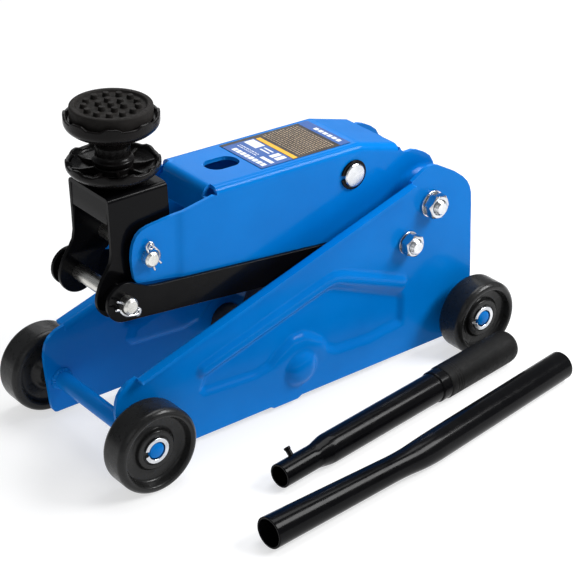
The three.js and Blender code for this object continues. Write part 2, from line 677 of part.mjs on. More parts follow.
// ---------------------------------------------------------------- ram
const headTop = unitReach - sleeveRadius - 3;
const headFoot = headTop - 10;
const ramTop = headFoot - clearance;
const ramProfile = [
  [0, 54.5], [ramRadius, 54.5], [ramRadius, 58], [12.5, 58], [12.5, 62], [ramRadius, 62], [ramRadius, ramTop - 1],
  [ramRadius - 1, ramTop], [0, ramTop],
];
add("ram", leaned(toManifold(turned(ramProfile, 28))), steel());
const sealProfile = [[12.8, 58.3], [ramRadius + 0.2, 58.3], [ramRadius + 0.2, 61.7], [12.8, 61.7]];
add("ram_seal", leaned(turnedRing(sealProfile, 28)), rubber());
const headProfile = [[0, headFoot], [20, headFoot], [26, headFoot + 4], [26, headTop], [0, headTop]];
add("ram_head", leaned(toManifold(turned(headProfile, 28))), steel());

// ---------------------------------------------------------------- handle socket
function inclined(solid) {
  return solid.rotate([0, -socketAngle / rad, 0]).translate([socketPivot.x, 0, socketPivot.z]);
}

const screwAt = 108;
function handleSocket() {
  const barrel = new THREE.LatheGeometry([
    [0, socketStart], [socketOuter, socketStart], [socketOuter, socketLength], [socketBore, socketLength],
    [socketBore, socketStart + 9], [0, socketStart + 9],
  ].map(([r, s]) => new THREE.Vector2(r, s)), 28).rotateZ(-Math.PI / 2);
  const earShape = new THREE.Shape();
  earShape.moveTo(0, 12);
  earShape.absarc(0, 0, 12, Math.PI / 2, 1.5 * Math.PI, false);
  earShape.lineTo(socketStart + 14, -12);
  earShape.lineTo(socketStart + 14, 12);
  const ear = slab(earShape, -17.5, -12.5);
  const screwHole = rod(4.3, { x: screwAt, z: 0 }, -30, 0, 16);
  return cut(join([toManifold(barrel), ear, mirrorY(ear)]), [
    rod(6 + clearance, { x: 0, z: 0 }, -30, 30, 16),
    screwHole,
  ]);
}
add("handle_socket", inclined(handleSocket()), blackPaint());

function clampScrew() {
  const at = { x: screwAt, z: 0 };
  return rod(4, at, -28, -16.5, 16).add(hexPrism(13, at, -29, -22));
}
add("socket_clamp_screw", inclined(clampScrew()), zinc());
const pivotPinHead = rod(8.5, socketPivot, 17.8, 20.5, 16);
add("socket_pivot_pin", rod(6, socketPivot, -20.5, 19, 16).add(pivotPinHead), zinc());
add("socket_pin_ring", ring(8.5, 6.2, socketPivot, -19.2, -17.8, 16), steel());

// ---------------------------------------------------------------- two-piece handle
// A handle piece touches the floor at two shoulders, each a radius and a distance from its front end.
function onFloor(handle, front, rear) {
  const pitch = Math.atan2(rear.radius - front.radius, rear.distance - front.distance);
  const height = front.radius * Math.cos(pitch) - front.distance * Math.sin(pitch);
  const group = new THREE.Group();
  group.position.set(handle.x, handle.y, height);
  group.rotation.order = "ZYX";
  group.rotation.z = handle.yaw;
  group.rotation.y = -pitch;
  jack.add(group);
  return group;
}

// A tube along +X from a closed profile of [radius, distance] pairs.
function tubeAlongX(profile, segments = 18) {
  const points = [...profile, profile[0]].map(([r, s]) => new THREE.Vector2(r, s));
  return toManifold(new THREE.LatheGeometry(points, segments).rotateZ(-Math.PI / 2));
}

const neckRadius = 12.4;
const upperTubeRadius = 15.6;
const tubeWall = 2.2;
const collarRadius = 16.9;
const gripRadius = 17.8;
const gripStart = 235;
const gripEnd = 347;
const neckEnd = 46;
const swageLength = 19;
const tubeEnd = gripEnd - 10;
const pegTurn = 45 * rad;

function upperTube() {
  const tube = tubeAlongX([
    [neckRadius - tubeWall, 0], [neckRadius, 0], [neckRadius, neckEnd], [upperTubeRadius, neckEnd + swageLength],
    [upperTubeRadius, tubeEnd], [upperTubeRadius - tubeWall, tubeEnd],
    [upperTubeRadius - tubeWall, neckEnd + swageLength], [neckRadius - tubeWall, neckEnd],
  ]);
  const pegHole = new THREE.CylinderGeometry(3.1, 3.1, 12, 14).rotateX(Math.PI / 2).translate(24, 0, neckRadius);
  pegHole.rotateX(-pegTurn);
  return tube.subtract(toManifold(pegHole));
}
const upperGroup = onFloor(
  upperHandle,
  { radius: upperTubeRadius, distance: neckEnd + swageLength },
  { radius: gripRadius, distance: gripStart + 1.5 },
);
add("upper_handle_tube", upperTube(), blackPaint(), upperGroup);
const pegProfile = [
  [0, neckRadius - 3.2], [2.8, neckRadius - 3.2], [2.8, neckRadius + 5.5], [3.4, neckRadius + 6],
  [3.4, neckRadius + 8], [2.8, neckRadius + 8.6], [0, neckRadius + 8.6],
];
const peg = turned(pegProfile, 12);
add("handle_lock_peg", peg.translate(24, 0, 0).rotateX(-pegTurn), zinc(), upperGroup);
const collar = tubeAlongX([
  [upperTubeRadius + clearance, gripStart - 13], [collarRadius, gripStart - 13], [collarRadius, gripStart - clearance],
  [upperTubeRadius + clearance, gripStart - clearance],
]);
add("grip_collar", collar, blackPaint(), upperGroup);
const grip = toManifold(new THREE.LatheGeometry([
  [upperTubeRadius + clearance, gripStart], [gripRadius - 1, gripStart], [gripRadius, gripStart + 1.5],
  [gripRadius, gripEnd - 10], [15, gripEnd - 2.6], [9, gripEnd], [0, gripEnd], [0, tubeEnd + 0.5],
  [upperTubeRadius + clearance, tubeEnd + 0.5],
  [upperTubeRadius + clearance, gripStart],
].map(([r, s]) => new THREE.Vector2(r, s)), 20).rotateZ(-Math.PI / 2));
add("handle_grip", grip, rubber(), upperGroup);

// The lower piece flares towards its mouth, narrows to a waist and turns slightly at its shoulder.
// Each station is its distance along the piece, its outer radius and how much of the turn is behind it.
const lowerMouthRadius = 16;
const lowerTubeRadius = 15.4;
const waistRadius = 13;
const lowerTurn = 5.3 * rad;
const lowerStations = [
  [0, lowerMouthRadius, 0], [82, 14.5, 0], [165, waistRadius, 0], [180, 13.6, 0.1], [189, 14.4, 0.3],
  [197, 14.9, 0.5], [205, 15.2, 0.7], [214, 15.4, 0.9], [228, 15.6, 1], [lowerHandle.length, lowerTubeRadius, 1],
];

function lowerTube() {
  const sides = 18;
  const positions = [];
  const faces = [];
  let x = 0;
  let y = 0;
  lowerStations.forEach(([distance, radius, turned], i) => {
    const angle = lowerTurn * turned;
    if (i > 0) {
      const [before, , turnedBefore] = lowerStations[i - 1];
      const heading = (angle + lowerTurn * turnedBefore) / 2;
      x += (distance - before) * Math.cos(heading);
      y += (distance - before) * Math.sin(heading);
    }
    for (const r of [radius, radius - tubeWall]) {
      for (let k = 0; k < sides; k += 1) {
        const around = (2 * Math.PI * k) / sides;
        const across = r * Math.cos(around);
        positions.push(x - across * Math.sin(angle), y + across * Math.cos(angle), r * Math.sin(around));
      }
    }
  });
  const quad = (a, b, c, d) => faces.push(a, b, c, a, c, d);
  const last = (lowerStations.length - 1) * 2 * sides;
  for (let k = 0; k < sides; k += 1) {
    const n = (k + 1) % sides;
    for (let base = 0; base < last; base += 2 * sides) {
      const next = base + 2 * sides;
      quad(base + k, base + n, next + n, next + k);
      quad(base + sides + n, base + sides + k, next + sides + k, next + sides + n);
    }
    quad(n, k, sides + k, sides + n);
    quad(last + k, last + n, last + sides + n, last + sides + k);
  }
  const geometry = new THREE.BufferGeometry();
  geometry.setAttribute("position", new THREE.Float32BufferAttribute(positions, 3));
  geometry.setIndex(faces);
  return toManifold(geometry);
}
const lowerGroup = onFloor(
  lowerHandle,
  { radius: lowerMouthRadius, distance: 0 },
  { radius: lowerTubeRadius, distance: lowerHandle.length },
);
add("lower_handle_tube", lowerTube(), blackPaint(), lowerGroup);
export default floorJack;
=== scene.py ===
from math import atan2, ceil, copysign, cos, exp, hypot, pi, radians, sin, tan

import bmesh
import bpy
from mathutils import Matrix, Vector


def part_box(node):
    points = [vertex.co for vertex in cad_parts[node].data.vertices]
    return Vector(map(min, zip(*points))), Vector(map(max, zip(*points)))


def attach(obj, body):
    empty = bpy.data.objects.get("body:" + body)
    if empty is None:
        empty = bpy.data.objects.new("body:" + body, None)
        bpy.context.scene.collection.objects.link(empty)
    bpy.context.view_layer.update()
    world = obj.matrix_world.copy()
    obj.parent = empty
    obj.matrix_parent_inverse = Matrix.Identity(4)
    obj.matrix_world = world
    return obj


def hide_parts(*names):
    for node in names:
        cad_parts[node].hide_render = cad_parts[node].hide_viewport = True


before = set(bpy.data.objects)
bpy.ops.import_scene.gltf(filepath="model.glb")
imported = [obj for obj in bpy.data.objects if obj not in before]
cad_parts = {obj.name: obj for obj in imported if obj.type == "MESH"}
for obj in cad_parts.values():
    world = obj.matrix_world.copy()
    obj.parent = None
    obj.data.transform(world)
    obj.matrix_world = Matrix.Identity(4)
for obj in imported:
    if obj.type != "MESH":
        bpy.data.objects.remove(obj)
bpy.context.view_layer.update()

Translation, Rotation = Matrix.Translation, Matrix.Rotation
MM = 0.001
TAU = 2 * pi
axle_low, axle_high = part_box("front_axle")
ORIGIN = Vector(((axle_low.x + axle_high.x) / 2, (axle_low.y + axle_high.y) / 2, 0))


def centre_xz(node):
    """Where a round part along y stands, in jack millimetres."""
    low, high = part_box(node)
    middle = ((low + high) / 2 - ORIGIN) / MM
    return middle.x, middle.z


FRONT_AXLE = centre_xz("front_axle")
REAR_AXLE = centre_xz("rear_axle")
ARM_PIVOT = centre_xz("arm_pivot_washer")
LINK_PIVOT = centre_xz("link_pivot_washer")
UPPER_HEAD = centre_xz("upper_head_pin")
LOWER_HEAD = centre_xz("lower_head_pin")
RAM_PIN = centre_xz("ram_pin")
TRUNNION = (206.0, 41.2)
SOCKET_PIVOT = centre_xz("socket_pivot_pin")
PLATE_FACE = 65.0
PLATE_GAUGE = 4.0


# ---- materials
def set_inputs(node, **values):
    """Sets sockets by name, with _ for each space."""
    for key, value in values.items():
        node.inputs[key.replace("_", " ")].default_value = value


def add_node(tree, kind, **values):
    node = tree.nodes.new("ShaderNode" + kind)
    set_inputs(node, **values)
    return node


def noise_node(tree, coords, scale, detail, stretch=None):
    node = add_node(tree, "TexNoise", Scale=scale, Detail=detail)
    source = coords.outputs["Object"]
    if stretch:
        mapping = add_node(tree, "Mapping", Scale=stretch)
        tree.links.new(source, mapping.inputs["Vector"])
        source = mapping.outputs["Vector"]
    tree.links.new(source, node.inputs["Vector"])
    return node.outputs["Fac"]


def spread(tree, source, from_range, to_range):
    (low, high), (first, last) = from_range, to_range
    node = add_node(tree, "MapRange", From_Min=low, From_Max=high, To_Min=first, To_Max=last)
    tree.links.new(source, node.inputs["Value"])
    return node.outputs["Result"]


def blend_colour(tree, factor, first, second):
    node = add_node(tree, "Mix")
    node.data_type = "RGBA"
    tree.links.new(factor, node.inputs[0])
    for socket, value in ((node.inputs[6], first), (node.inputs[7], second)):
        if isinstance(value, tuple):
            socket.default_value = (*value, 1)
        else:
            tree.links.new(value, socket)
    return node.outputs[2]


def surface(name, dark, light, rough, metal=0.0, patch=14.0, bump_scale=900.0, bump=0.05,
            coat=0.0, specular=0.5, stretch=None, edge_wear_and_highlight=None):
    """A material with uneven colour, uneven gloss, a fine relief and, if given, edges painted lighter: part
    wear, part painted highlight.
    """
    made = bpy.data.materials.new(name)
    made.use_nodes = True
    tree = made.node_tree
    shader = tree.nodes["Principled BSDF"]
    coords = add_node(tree, "TexCoord")
    cloudy = noise_node(tree, coords, patch, 5.0)
    colour = blend_colour(tree, spread(tree, cloudy, (0.35, 0.65), (0, 1)), dark, light)
    # Edges found by pointiness are painted lighter: part edge wear, part painted highlight.
    if edge_wear_and_highlight:
        geometry = add_node(tree, "NewGeometry")
        edge = spread(tree, geometry.outputs["Pointiness"], (0.54, 0.66), (0, 0.7))
        colour = blend_colour(tree, edge, colour, edge_wear_and_highlight)
    tree.links.new(colour, shader.inputs["Base Color"])
    streaks = noise_node(tree, coords, patch * 6, 4.0, stretch)
    tree.links.new(spread(tree, streaks, (0.3, 0.7), rough), shader.inputs["Roughness"])
    relief = add_node(tree, "Bump", Strength=bump, Distance=0.0006)
    tree.links.new(noise_node(tree, coords, bump_scale, 2.0, stretch), relief.inputs["Height"])
    tree.links.new(relief.outputs["Normal"], shader.inputs["Normal"])
    set_inputs(shader, Metallic=metal, Specular_IOR_Level=specular, Coat_Weight=coat, Coat_Roughness=0.06)
    return made


# The last colour given to each enamel, cast and iron material is its edge colour: part wear, part painted
# highlight.
BLUE = surface(
    "blue_enamel", (0.0, 0.155, 0.53), (0.0, 0.18, 0.6), (0.16, 0.26), patch=9,
    bump_scale=420, bump=0.05, coat=0.05, specular=0.06, edge_wear_and_highlight=(0.03, 0.27, 0.78),
)
BLACK = surface(
    "black_enamel", (0.002, 0.002, 0.0025), (0.004, 0.004, 0.0045), (0.14, 0.26), patch=12,
    bump_scale=500, bump=0.06, coat=0.05, specular=0.06, edge_wear_and_highlight=(0.04, 0.04, 0.04),
)
CAST_BLACK = surface(
    "cast_black", (0.003, 0.003, 0.003), (0.006, 0.005, 0.005), (0.18, 0.36), patch=40,
    bump_scale=650, bump=0.22, coat=0.06, specular=0.09, edge_wear_and_highlight=(0.04, 0.037, 0.035),
)
WHEEL = surface(
    "wheel_black", (0.009, 0.009, 0.009), (0.016, 0.016, 0.016), (0.22, 0.4), patch=30,
    bump_scale=480, bump=0.14, coat=0.08, specular=0.2, edge_wear_and_highlight=(0.05, 0.05, 0.05),
)
ZINC = surface(
    "zinc_plate", (0.5, 0.52, 0.55), (0.72, 0.73, 0.75), (0.14, 0.28), metal=1.0, patch=60,
    bump_scale=1400, bump=0.12,
)
PIN = surface(
    "zinc_pin", (0.62, 0.61, 0.57), (0.78, 0.77, 0.73), (0.22, 0.36), metal=1.0, patch=50,
    bump_scale=900, bump=0.15, stretch=(6, 0.4, 6),
)
STEEL = surface(
    "bare_steel", (0.42, 0.43, 0.44), (0.58, 0.58, 0.59), (0.24, 0.4), metal=1.0, patch=40,
    bump_scale=800, bump=0.2,
)
IRON = surface(
    "cast_iron", (0.018, 0.019, 0.02), (0.04, 0.04, 0.042), (0.45, 0.65), metal=0.2, patch=60,
    bump_scale=380, bump=0.6, edge_wear_and_highlight=(0.09, 0.09, 0.09),
)
RUBBER = surface(
    "pad_rubber", (0.01, 0.009, 0.008), (0.016, 0.014, 0.013), (0.6, 0.8), patch=50,
    bump_scale=1300, bump=0.35, specular=0.15,
)
GRIP = surface(
    "grip_rubber", (0.003, 0.003, 0.003), (0.006, 0.006, 0.006), (0.5, 0.66), patch=40,
    bump_scale=1500, bump=0.4, specular=0.15,
)
INKS = {
    "blue": surface("ink_blue", (0.005, 0.07, 0.3), (0.01, 0.09, 0.35), (0.3, 0.42), bump=0.02),
    "white": surface("ink_white", (0.7, 0.74, 0.78), (0.84, 0.86, 0.88), (0.35, 0.5), bump=0.02),
    "yellow": surface("ink_yellow", (0.78, 0.38, 0.01), (0.88, 0.46, 0.02), (0.35, 0.5), bump=0.02),
    "black": surface("ink_black", (0.008, 0.006, 0.005), (0.02, 0.014, 0.01), (0.3, 0.45), bump=0.02),
    "tan": surface("ink_tan", (0.4, 0.3, 0.2), (0.55, 0.42, 0.28), (0.4, 0.5), bump=0.02),
}


# ---- shapes
class Shape:
    """Vertices in jack millimetres and the faces between them."""

    def __init__(self, verts=(), faces=()):
        self.verts = [Vector(v) for v in verts]
        self.faces = [tuple(f) for f in faces]

    def __add__(self, other):
        shift = len(self.verts)
        moved = [tuple(i + shift for i in face) for face in other.faces]
        return Shape(self.verts + other.verts, self.faces + moved)

    def placed(self, matrix):
        flips = matrix.to_3x3().determinant() < 0
        faces = [f[::-1] for f in self.faces] if flips else self.faces
        return Shape([matrix @ v for v in self.verts], faces)

    def mirrored(self):
        return self.placed(Matrix.Scale(-1, 4, (0, 1, 0)))


def fillet(points, radius, steps=3, closed=False):
    """The same outline with each corner rounded. radius is one number or one for each point."""
    count = len(points)
    made = []
    for i, point in enumerate(points):
        here = Vector(point)
        size = radius[i] if isinstance(radius, (list, tuple)) else radius
        back, ahead = Vector(points[i - 1]) - here, Vector(points[(i + 1) % count]) - here
        is_end = not closed and i in (0, count - 1)
        if is_end or size == 0 or min(back.length, ahead.length) < 1e-6:
            made.append(tuple(here))
            continue
        reach = min(size, back.length * 0.45, ahead.length * 0.45)
        start, end = here + back.normalized() * reach, here + ahead.normalized() * reach
        for k in range(steps + 1):
            t = k / steps
            made.append(tuple(start * (1 - t) ** 2 + here * 2 * t * (1 - t) + end * t * t))
    return made


def lathe(profile, segments=64, closed=False, warp=None):
    """A profile of (radius, height) turned about the local z axis."""
    verts, rings = [], []
    for radius, height in profile:
        if radius < 1e-6:
            rings.append([len(verts)] * segments)
            verts.append((0, 0, height))
            continue
        rings.append(list(range(len(verts), len(verts) + segments)))
        for k in range(segments):
            angle = TAU * k / segments
            r, h = warp(angle, radius, height) if warp else (radius, height)
            verts.append((r * cos(angle), r * sin(angle), h))
    faces = []
    for low, high in zip(rings, rings[1:] + rings[:1] * closed):
        for k in range(segments):
            n = (k + 1) % segments
            corners = [low[k], low[n], high[n], high[k]]
            kept = [c for i, c in enumerate(corners) if c != corners[i - 1]]
            if len(kept) > 2:
                faces.append(kept)
    return Shape(verts, faces)


def along_y(at, flip=False):
    """Local z becomes +y, or -y when flipped, through the point (x, z)."""
    turn = Rotation(pi / 2 if flip else -pi / 2, 4, "X")
    return Translation((at[0], 0, at[1])) @ turn


def along_z(x, y=0.0):
    return Translation((x, y, 0))


def along_x(y, z):
    return Translation((0, y, z)) @ Rotation(pi / 2, 4, "Y")


def between(first, last):
    """A closed body between two outlines of equally many points."""
    count = len(first)
    faces = [tuple(range(count)), tuple(range(2 * count - 1, count - 1, -1))]
    for k in range(count):
        n = (k + 1) % count
        faces.append((k, k + count, n + count, n))
    return Shape(first + last, faces)


def prism(outline, y_low, y_high):
    """A side view outline (x, z) given thickness along y."""
    return between([(x, y_low, z) for x, z in outline], [(x, y_high, z) for x, z in outline])


def arc(centre, radius, angles):
    return [(centre[0] + radius * cos(a), centre[1] + radius * sin(a)) for a in angles]


def ring_profile(inner, outer, low, high, radius=0.8):
    """The rounded rectangle that turns into a ring or a tube wall."""
    return fillet([(inner, low), (outer, low), (outer, high), (inner, high)], radius, 3, True)


def wound(count, size):
    """Faces between neighbours of count + 1 rings of points."""
    return [
        (k * size + m, k * size + (m + 1) % size, (k + 1) * size + (m + 1) % size, (k + 1) * size + m)
        for k in range(count) for m in range(size)
    ]


def tube(path, radius, sides=10):
    """A round wire along points, with domed ends."""
    points = [Vector(p) for p in path]
    last = len(points) - 1
    circle = arc((0, 0), radius, [TAU * k / sides for k in range(sides)])
    verts = []
    for i, point in enumerate(points):
        ahead = (points[min(i + 1, last)] - points[max(i - 1, 0)]).normalized()
        first = Vector((0, 1, 0)).cross(ahead).normalized()
        second = ahead.cross(first).normalized()
        verts += [point + first * u + second * w for u, w in circle]
    faces = wound(last, sides)
    for start, end, before in ((0, points[0], points[1]), (last * sides, points[-1], points[-2])):
        verts.append(end + (end - before).normalized() * radius * 0.6)
        faces += [(start + k, start + (k + 1) % sides, len(verts) - 1) for k in range(sides)]
    return Shape(verts, faces)


def smooth_path(points, steps=6):
    """A Catmull-Rom curve through the points."""
    made = []
    padded = [points[0], *points, points[-1]]
    for i in range(1, len(padded) - 2):
        a, b, c, d = (Vector(p) for p in padded[i - 1 : i + 3])
        for k in range(steps):
            t = k / steps
            made.append(
                0.5 * (2 * b + (c - a) * t + (2 * a - 5 * b + 4 * c - d) * t**2
                       + (3 * b - a - 3 * c + d) * t**3)
            )
    made.append(Vector(points[-1]))
    return made


def smooth_step(value):
    value = max(0.0, min(1.0, value))
    return value * value * (3 - 2 * value)


def along(points, x):
    """Height of a polyline at x."""
    if x <= points[0][0]:
        return points[0][1]
    for (x0, z0), (x1, z1) in zip(points, points[1:]):
        if x <= x1:
            return z0 + (z1 - z0) * (x - x0) / max(x1 - x0, 1e-9)
    return points[-1][1]


def distance_to_path(points, x, z):
    here = Vector((x, z))
    least = 1e9
    for a, b in zip(points, points[1:]):
        start, step = Vector(a), Vector(b) - Vector(a)
        t = max(0.0, min(1.0, (here - start).dot(step) / step.length_squared))
        least = min(least, (here - start - step * t).length)
    return least


def inside(polygon, x, z):
    """How far (x, z) is inside a closed outline; negative outside."""
    hit = False
    for (x0, z0), (x1, z1) in zip(polygon, polygon[1:] + polygon[:1]):
        if (z0 > z) != (z1 > z) and x < x0 + (x1 - x0) * (z - z0) / (z1 - z0):
            hit = not hit
    far = distance_to_path(polygon + polygon[:1], x, z)
    return far if hit else -far


# ---- from shape to piece
def in_scene(name, data):
    made = bpy.data.objects.new(name, data)
    bpy.context.scene.collection.objects.link(made)
    return made


def to_object(name, shape):
    mesh = bpy.data.meshes.new(name)
    mesh.from_pydata([ORIGIN + v * MM for v in shape.verts], [], shape.faces)
    return in_scene(name, mesh)


def tidy(made, outward=True, merge=0.02):
    work = bmesh.new()
    work.from_mesh(made.data)
    bmesh.ops.remove_doubles(work, verts=work.verts, dist=merge * MM)
    if outward:
        bmesh.ops.recalc_face_normals(work, faces=work.faces)
    work.to_mesh(made.data)
    work.free()


def applied(made):
    """Replaces the object's mesh by the one its modifiers give."""
    bpy.context.view_layer.update()
    graph = bpy.context.evaluated_depsgraph_get()
    mesh = bpy.data.meshes.new_from_object(made.evaluated_get(graph))
    made.modifiers.clear()
    made.data = mesh
    return made


def combine(made, shape, operation):
    """Boolean of the object with a closed shape, applied at once."""
    tool = to_object("tool", shape)
    tidy(tool)
    modifier = made.modifiers.new("combine", "BOOLEAN")
    modifier.operation = operation
    modifier.solver = "EXACT"
    modifier.object = tool
    applied(made)
    bpy.data.objects.remove(tool)
    return made


def thicken(made, gauge):
    modifier = made.modifiers.new("gauge", "SOLIDIFY")
    modifier.thickness = gauge * MM
    modifier.offset = -1
    modifier.use_even_offset = True
    return applied(made)


def bevel(made, width, steps=2, angle=40):
    modifier = made.modifiers.new("edges", "BEVEL")
    modifier.width = width * MM
    modifier.segments = steps
    modifier.limit_method = "ANGLE"
    modifier.angle_limit = radians(angle)
    return applied(made)


def finish_piece(made, material, body, nodes=(), angle=32):
    made.data.materials.clear()
    made.data.materials.append(material)
    for face in made.data.polygons:
        face.use_smooth = True
        face.material_index = 0
    made.data.set_sharp_from_angle(angle=radians(angle))
    flatter = made.modifiers.new("flatter", "WEIGHTED_NORMAL")
    flatter.keep_sharp = True
    applied(made)
    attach(made, body)
    if nodes:
        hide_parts(*nodes)
    return made


def piece(name, shape, material, body, nodes=(), round_edges=0.0, angle=32, steps=2):
    made = to_object(name, shape)
    tidy(made)
    if round_edges:
        bevel(made, round_edges, steps)
    return finish_piece(made, material, body, nodes, angle)


# ---- side plates
PLATE_FOOT = [
    (-18.8, 71), (-18.0, 60), (-16, 41), (-14, 20), (-12.5, 13), (-10, 9.6), (-7.6, 8.5),
    (168, 8.5), (172, 6), (203, 6), (208, 8.8), (433, 8.8), (436, 9.6), (438.5, 12), (439.8, 18),
]
PLATE_CREST = [
    (-18.8, 76), (-17.6, 84), (-15.6, 90), (-11.8, 95.5), (-3.6, 100.9), (6.6, 103.8),
    (348.5, 208.8), (356, 213), (364, 217.2), (371, 219.6), (378, 219.8), (386, 216.5),
    (408, 204), (420, 195), (427, 187.5), (431, 180.5), (433.4, 173), (434.8, 158), (436, 136),
    (438, 106), (439.8, 76),
]
FLANGE_FROM, FLANGE_TO = 6.9, 347.5
FLANGE_REACH = 10.0
FLANGE_BEND = 3.0
BEAD_PATH = [(84, 84), (110, 92), (180, 112.5), (236, 129), (247, 130.5), (258, 128), (340, 95)]
PANEL = [
    (86, 76), (110, 84), (180, 104.5), (238, 121.5), (250, 121.5), (340, 84), (344, 76), (344, 46),
    (299, 40), (253, 43), (241, 50), (233, 62), (211, 76), (196, 76), (183, 68.5), (168, 55),
    (150, 51), (122, 53), (86, 55), (80, 62),
]
DOME_RADIUS = 20.5
BEAD_HEIGHT = 3.4
PANEL_DEPTH = 4.4
SHOULDER = 1.6
DOME_HEIGHT = 8.3


def plate_relief(x, z):
    """How far the pressed side plate stands out from its flat face."""
    from_bead = distance_to_path(BEAD_PATH, x, z)
    height = BEAD_HEIGHT * (1 - smooth_step((from_bead - 3.0) / 6.0))
    height -= PANEL_DEPTH * smooth_step((inside(PANEL, x, z) + 2.0) / 8.0)
    far = hypot(x - TRUNNION[0], z - TRUNNION[1])
    # A low shoulder round the upper half of the dome lifts the panel's edge.
    rise = smooth_step((z - TRUNNION[1] + 4) / 26) * (1 - smooth_step((far - 25) / 15))
    height += (SHOULDER - height) * rise
    if far < DOME_RADIUS:
        height = max(height, DOME_HEIGHT * (1 - (far / DOME_RADIUS) ** 3))
    return height


def spaced(stops, step):
    """Values that pass through every stop, no further than step apart."""
    made = [stops[0]]
    for low, high in zip(stops, stops[1:]):
        parts = max(1, ceil((high - low) / step))
        made += [low + (high - low) * k / parts for k in range(1, parts + 1)]
    return made


def grid_faces(columns, rows, keep=lambda i, j: True):
    return [
        (i * rows + j, (i + 1) * rows + j, (i + 1) * rows + j + 1, i * rows + j + 1)
        for i in range(columns - 1)
        for j in range(rows - 1)
        if keep(i, j)
    ]


def side_plate():
    """The near plate: pressed face with its top edge turned out into a flange."""
    stops = sorted({x for x, _ in PLATE_FOOT + PLATE_CREST} | {FLANGE_FROM, FLANGE_TO})
    xs = spaced(stops, 2.4)
    face_rows = 74
    bend_rows = 6
    verts = []
    turned = []
    for x in xs:
        foot, crest = along(PLATE_FOOT, x), along(PLATE_CREST, x)
        flanged = FLANGE_FROM - 1e-6 <= x <= FLANGE_TO + 1e-6
        turned.append(flanged)
        top = crest - PLATE_GAUGE - FLANGE_BEND if flanged else crest - 7
        if top < foot + 1:
            top = (foot + crest) / 2
        for j in range(face_rows):
            z = foot + (top - foot) * j / (face_rows - 1)
            verts.append((x, -PLATE_FACE - plate_relief(x, z), z))
        for j in range(1, bend_rows + 2):
            if not flanged:
                verts.append((x, -PLATE_FACE, top + (crest - top) * j / (bend_rows + 1)))
            elif j <= bend_rows:
                angle = pi / 2 * j / bend_rows
                out = FLANGE_BEND * (1 - cos(angle))
                verts.append((x, -PLATE_FACE - out, top + FLANGE_BEND * sin(angle)))
            else:
                verts.append((x, -PLATE_FACE - FLANGE_REACH, top + FLANGE_BEND))
    rows = face_rows + bend_rows + 1
    keep = lambda i, j: turned[i] == turned[i + 1] or j < face_rows - 1
    return Shape(verts, grid_faces(len(xs), rows, keep))


near_plate = side_plate()
for side, name, node in (
    (near_plate, "side_plate_near", "side_plate_left"),
    (near_plate.mirrored(), "side_plate_far", "side_plate_right"),
):
    made = to_object(name, side)
    tidy(made, outward=False, merge=0.001)
    thicken(made, PLATE_GAUGE)
    bevel(made, 0.7, 2, 50)
    finish_piece(made, BLUE, "chassis", [node], 40)


# ---- axles, wheels, bolts
def weld(at, radius, face, direction):
    """A rippled weld bead round a rod where it meets a plate."""
    profile = [(radius - 1, 0), (radius + 3.2, 0), (radius + 2.4, 2.2), (radius + 0.6, 3.4),
               (radius - 1, 3.6)]
    rounded = fillet(profile, 1.2, 2)

    def ripple(angle, r, h):
        wave = 0.3 * sin(19 * angle) + 0.25 * sin(7 * angle + 1)
        return r + wave * (r > radius), h * (1 + 0.12 * sin(23 * angle))

    made = lathe(rounded, 72, False, ripple)
    return made.placed(Translation((0, face, 0)) @ along_y(at, direction < 0))


for name, at in (("front", FRONT_AXLE), ("rear", REAR_AXLE)):
    end = 106.0
    half = [(0, -end), (5.2, -end + 0.2), (7.6, -end + 1.2), (9, -end + 3.4)]
    profile = half + [(r, -h) for r, h in reversed(half)]
    rod = lathe(profile, 48).placed(along_y(at))
    welds = weld(at, 9.0, -61.0, 1) + weld(at, 9.0, 61.0, -1)
    piece(f"{name}_axle_rod", rod, BLUE, "chassis", [f"{name}_axle"])
    piece(f"{name}_axle_welds", welds, BLUE, "chassis")


def wheel(radius):
    inner, outer = 77.4, 109.7
    corners = [
        (9.3, 65.6), (13, 65.6), (13, inner + 1), (20, inner + 7), (radius - 11, inner + 7),
        (radius - 9, inner), (radius - 3, inner), (radius, inner + 4), (radius, outer - 4),
        (radius - 3.5, outer), (radius - 8, outer), (radius - 10.5, outer - 9.5),
        (22, outer - 10.8), (20, outer - 5.8), (15.5, outer - 5.8), (14.6, outer - 6.6), (9.3, outer - 6.6),
    ]
    sizes = [0.4, 0.8, 2.5, 2.5, 2.5, 2.5, 2.6, 3, 3, 3.4, 2.2, 3, 3, 1.4, 0.6, 0.6, 0.4]
    return lathe(fillet(corners, sizes, 5, True), 96, True)


def open_ring(at, inner, outer, low, high, gap=0.5):
    """A washer-like ring with a gap on its forward side."""
    verts = []
    count = 44
    profile = ring_profile(inner, outer, low, high, 0.5)
    size = len(profile)
    for k in range(count + 1):
        angle = pi + gap / 2 + (TAU - gap) * k / count
        for r, h in profile:
            verts.append((at[0] + r * cos(angle), h, at[1] + r * sin(angle)))
    faces = wound(count, size)
    faces.append(tuple(range(size)))
    faces.append(tuple(range(count * size, count * size + size)))
    return Shape(verts, faces)


for end, at in (("front", FRONT_AXLE), ("rear", REAR_AXLE)):
    shape = wheel(at[1]).placed(along_y(at))
    ring = open_ring(at, 9.3, 13.4, 103.4, 105.3)
    for side in ("left", "right"):
        turned = shape.mirrored() if side == "left" else shape
        clip = ring.mirrored() if side == "left" else ring
        piece(f"{end}_wheel_{side}_disc", turned, WHEEL, f"{end}_wheel_{side}",
              [f"{end}_wheel_{side}"], angle=60)
        piece(f"{end}_ring_{side}", clip, ZINC, "chassis", [f"{end}_axle_ring_{side}"])


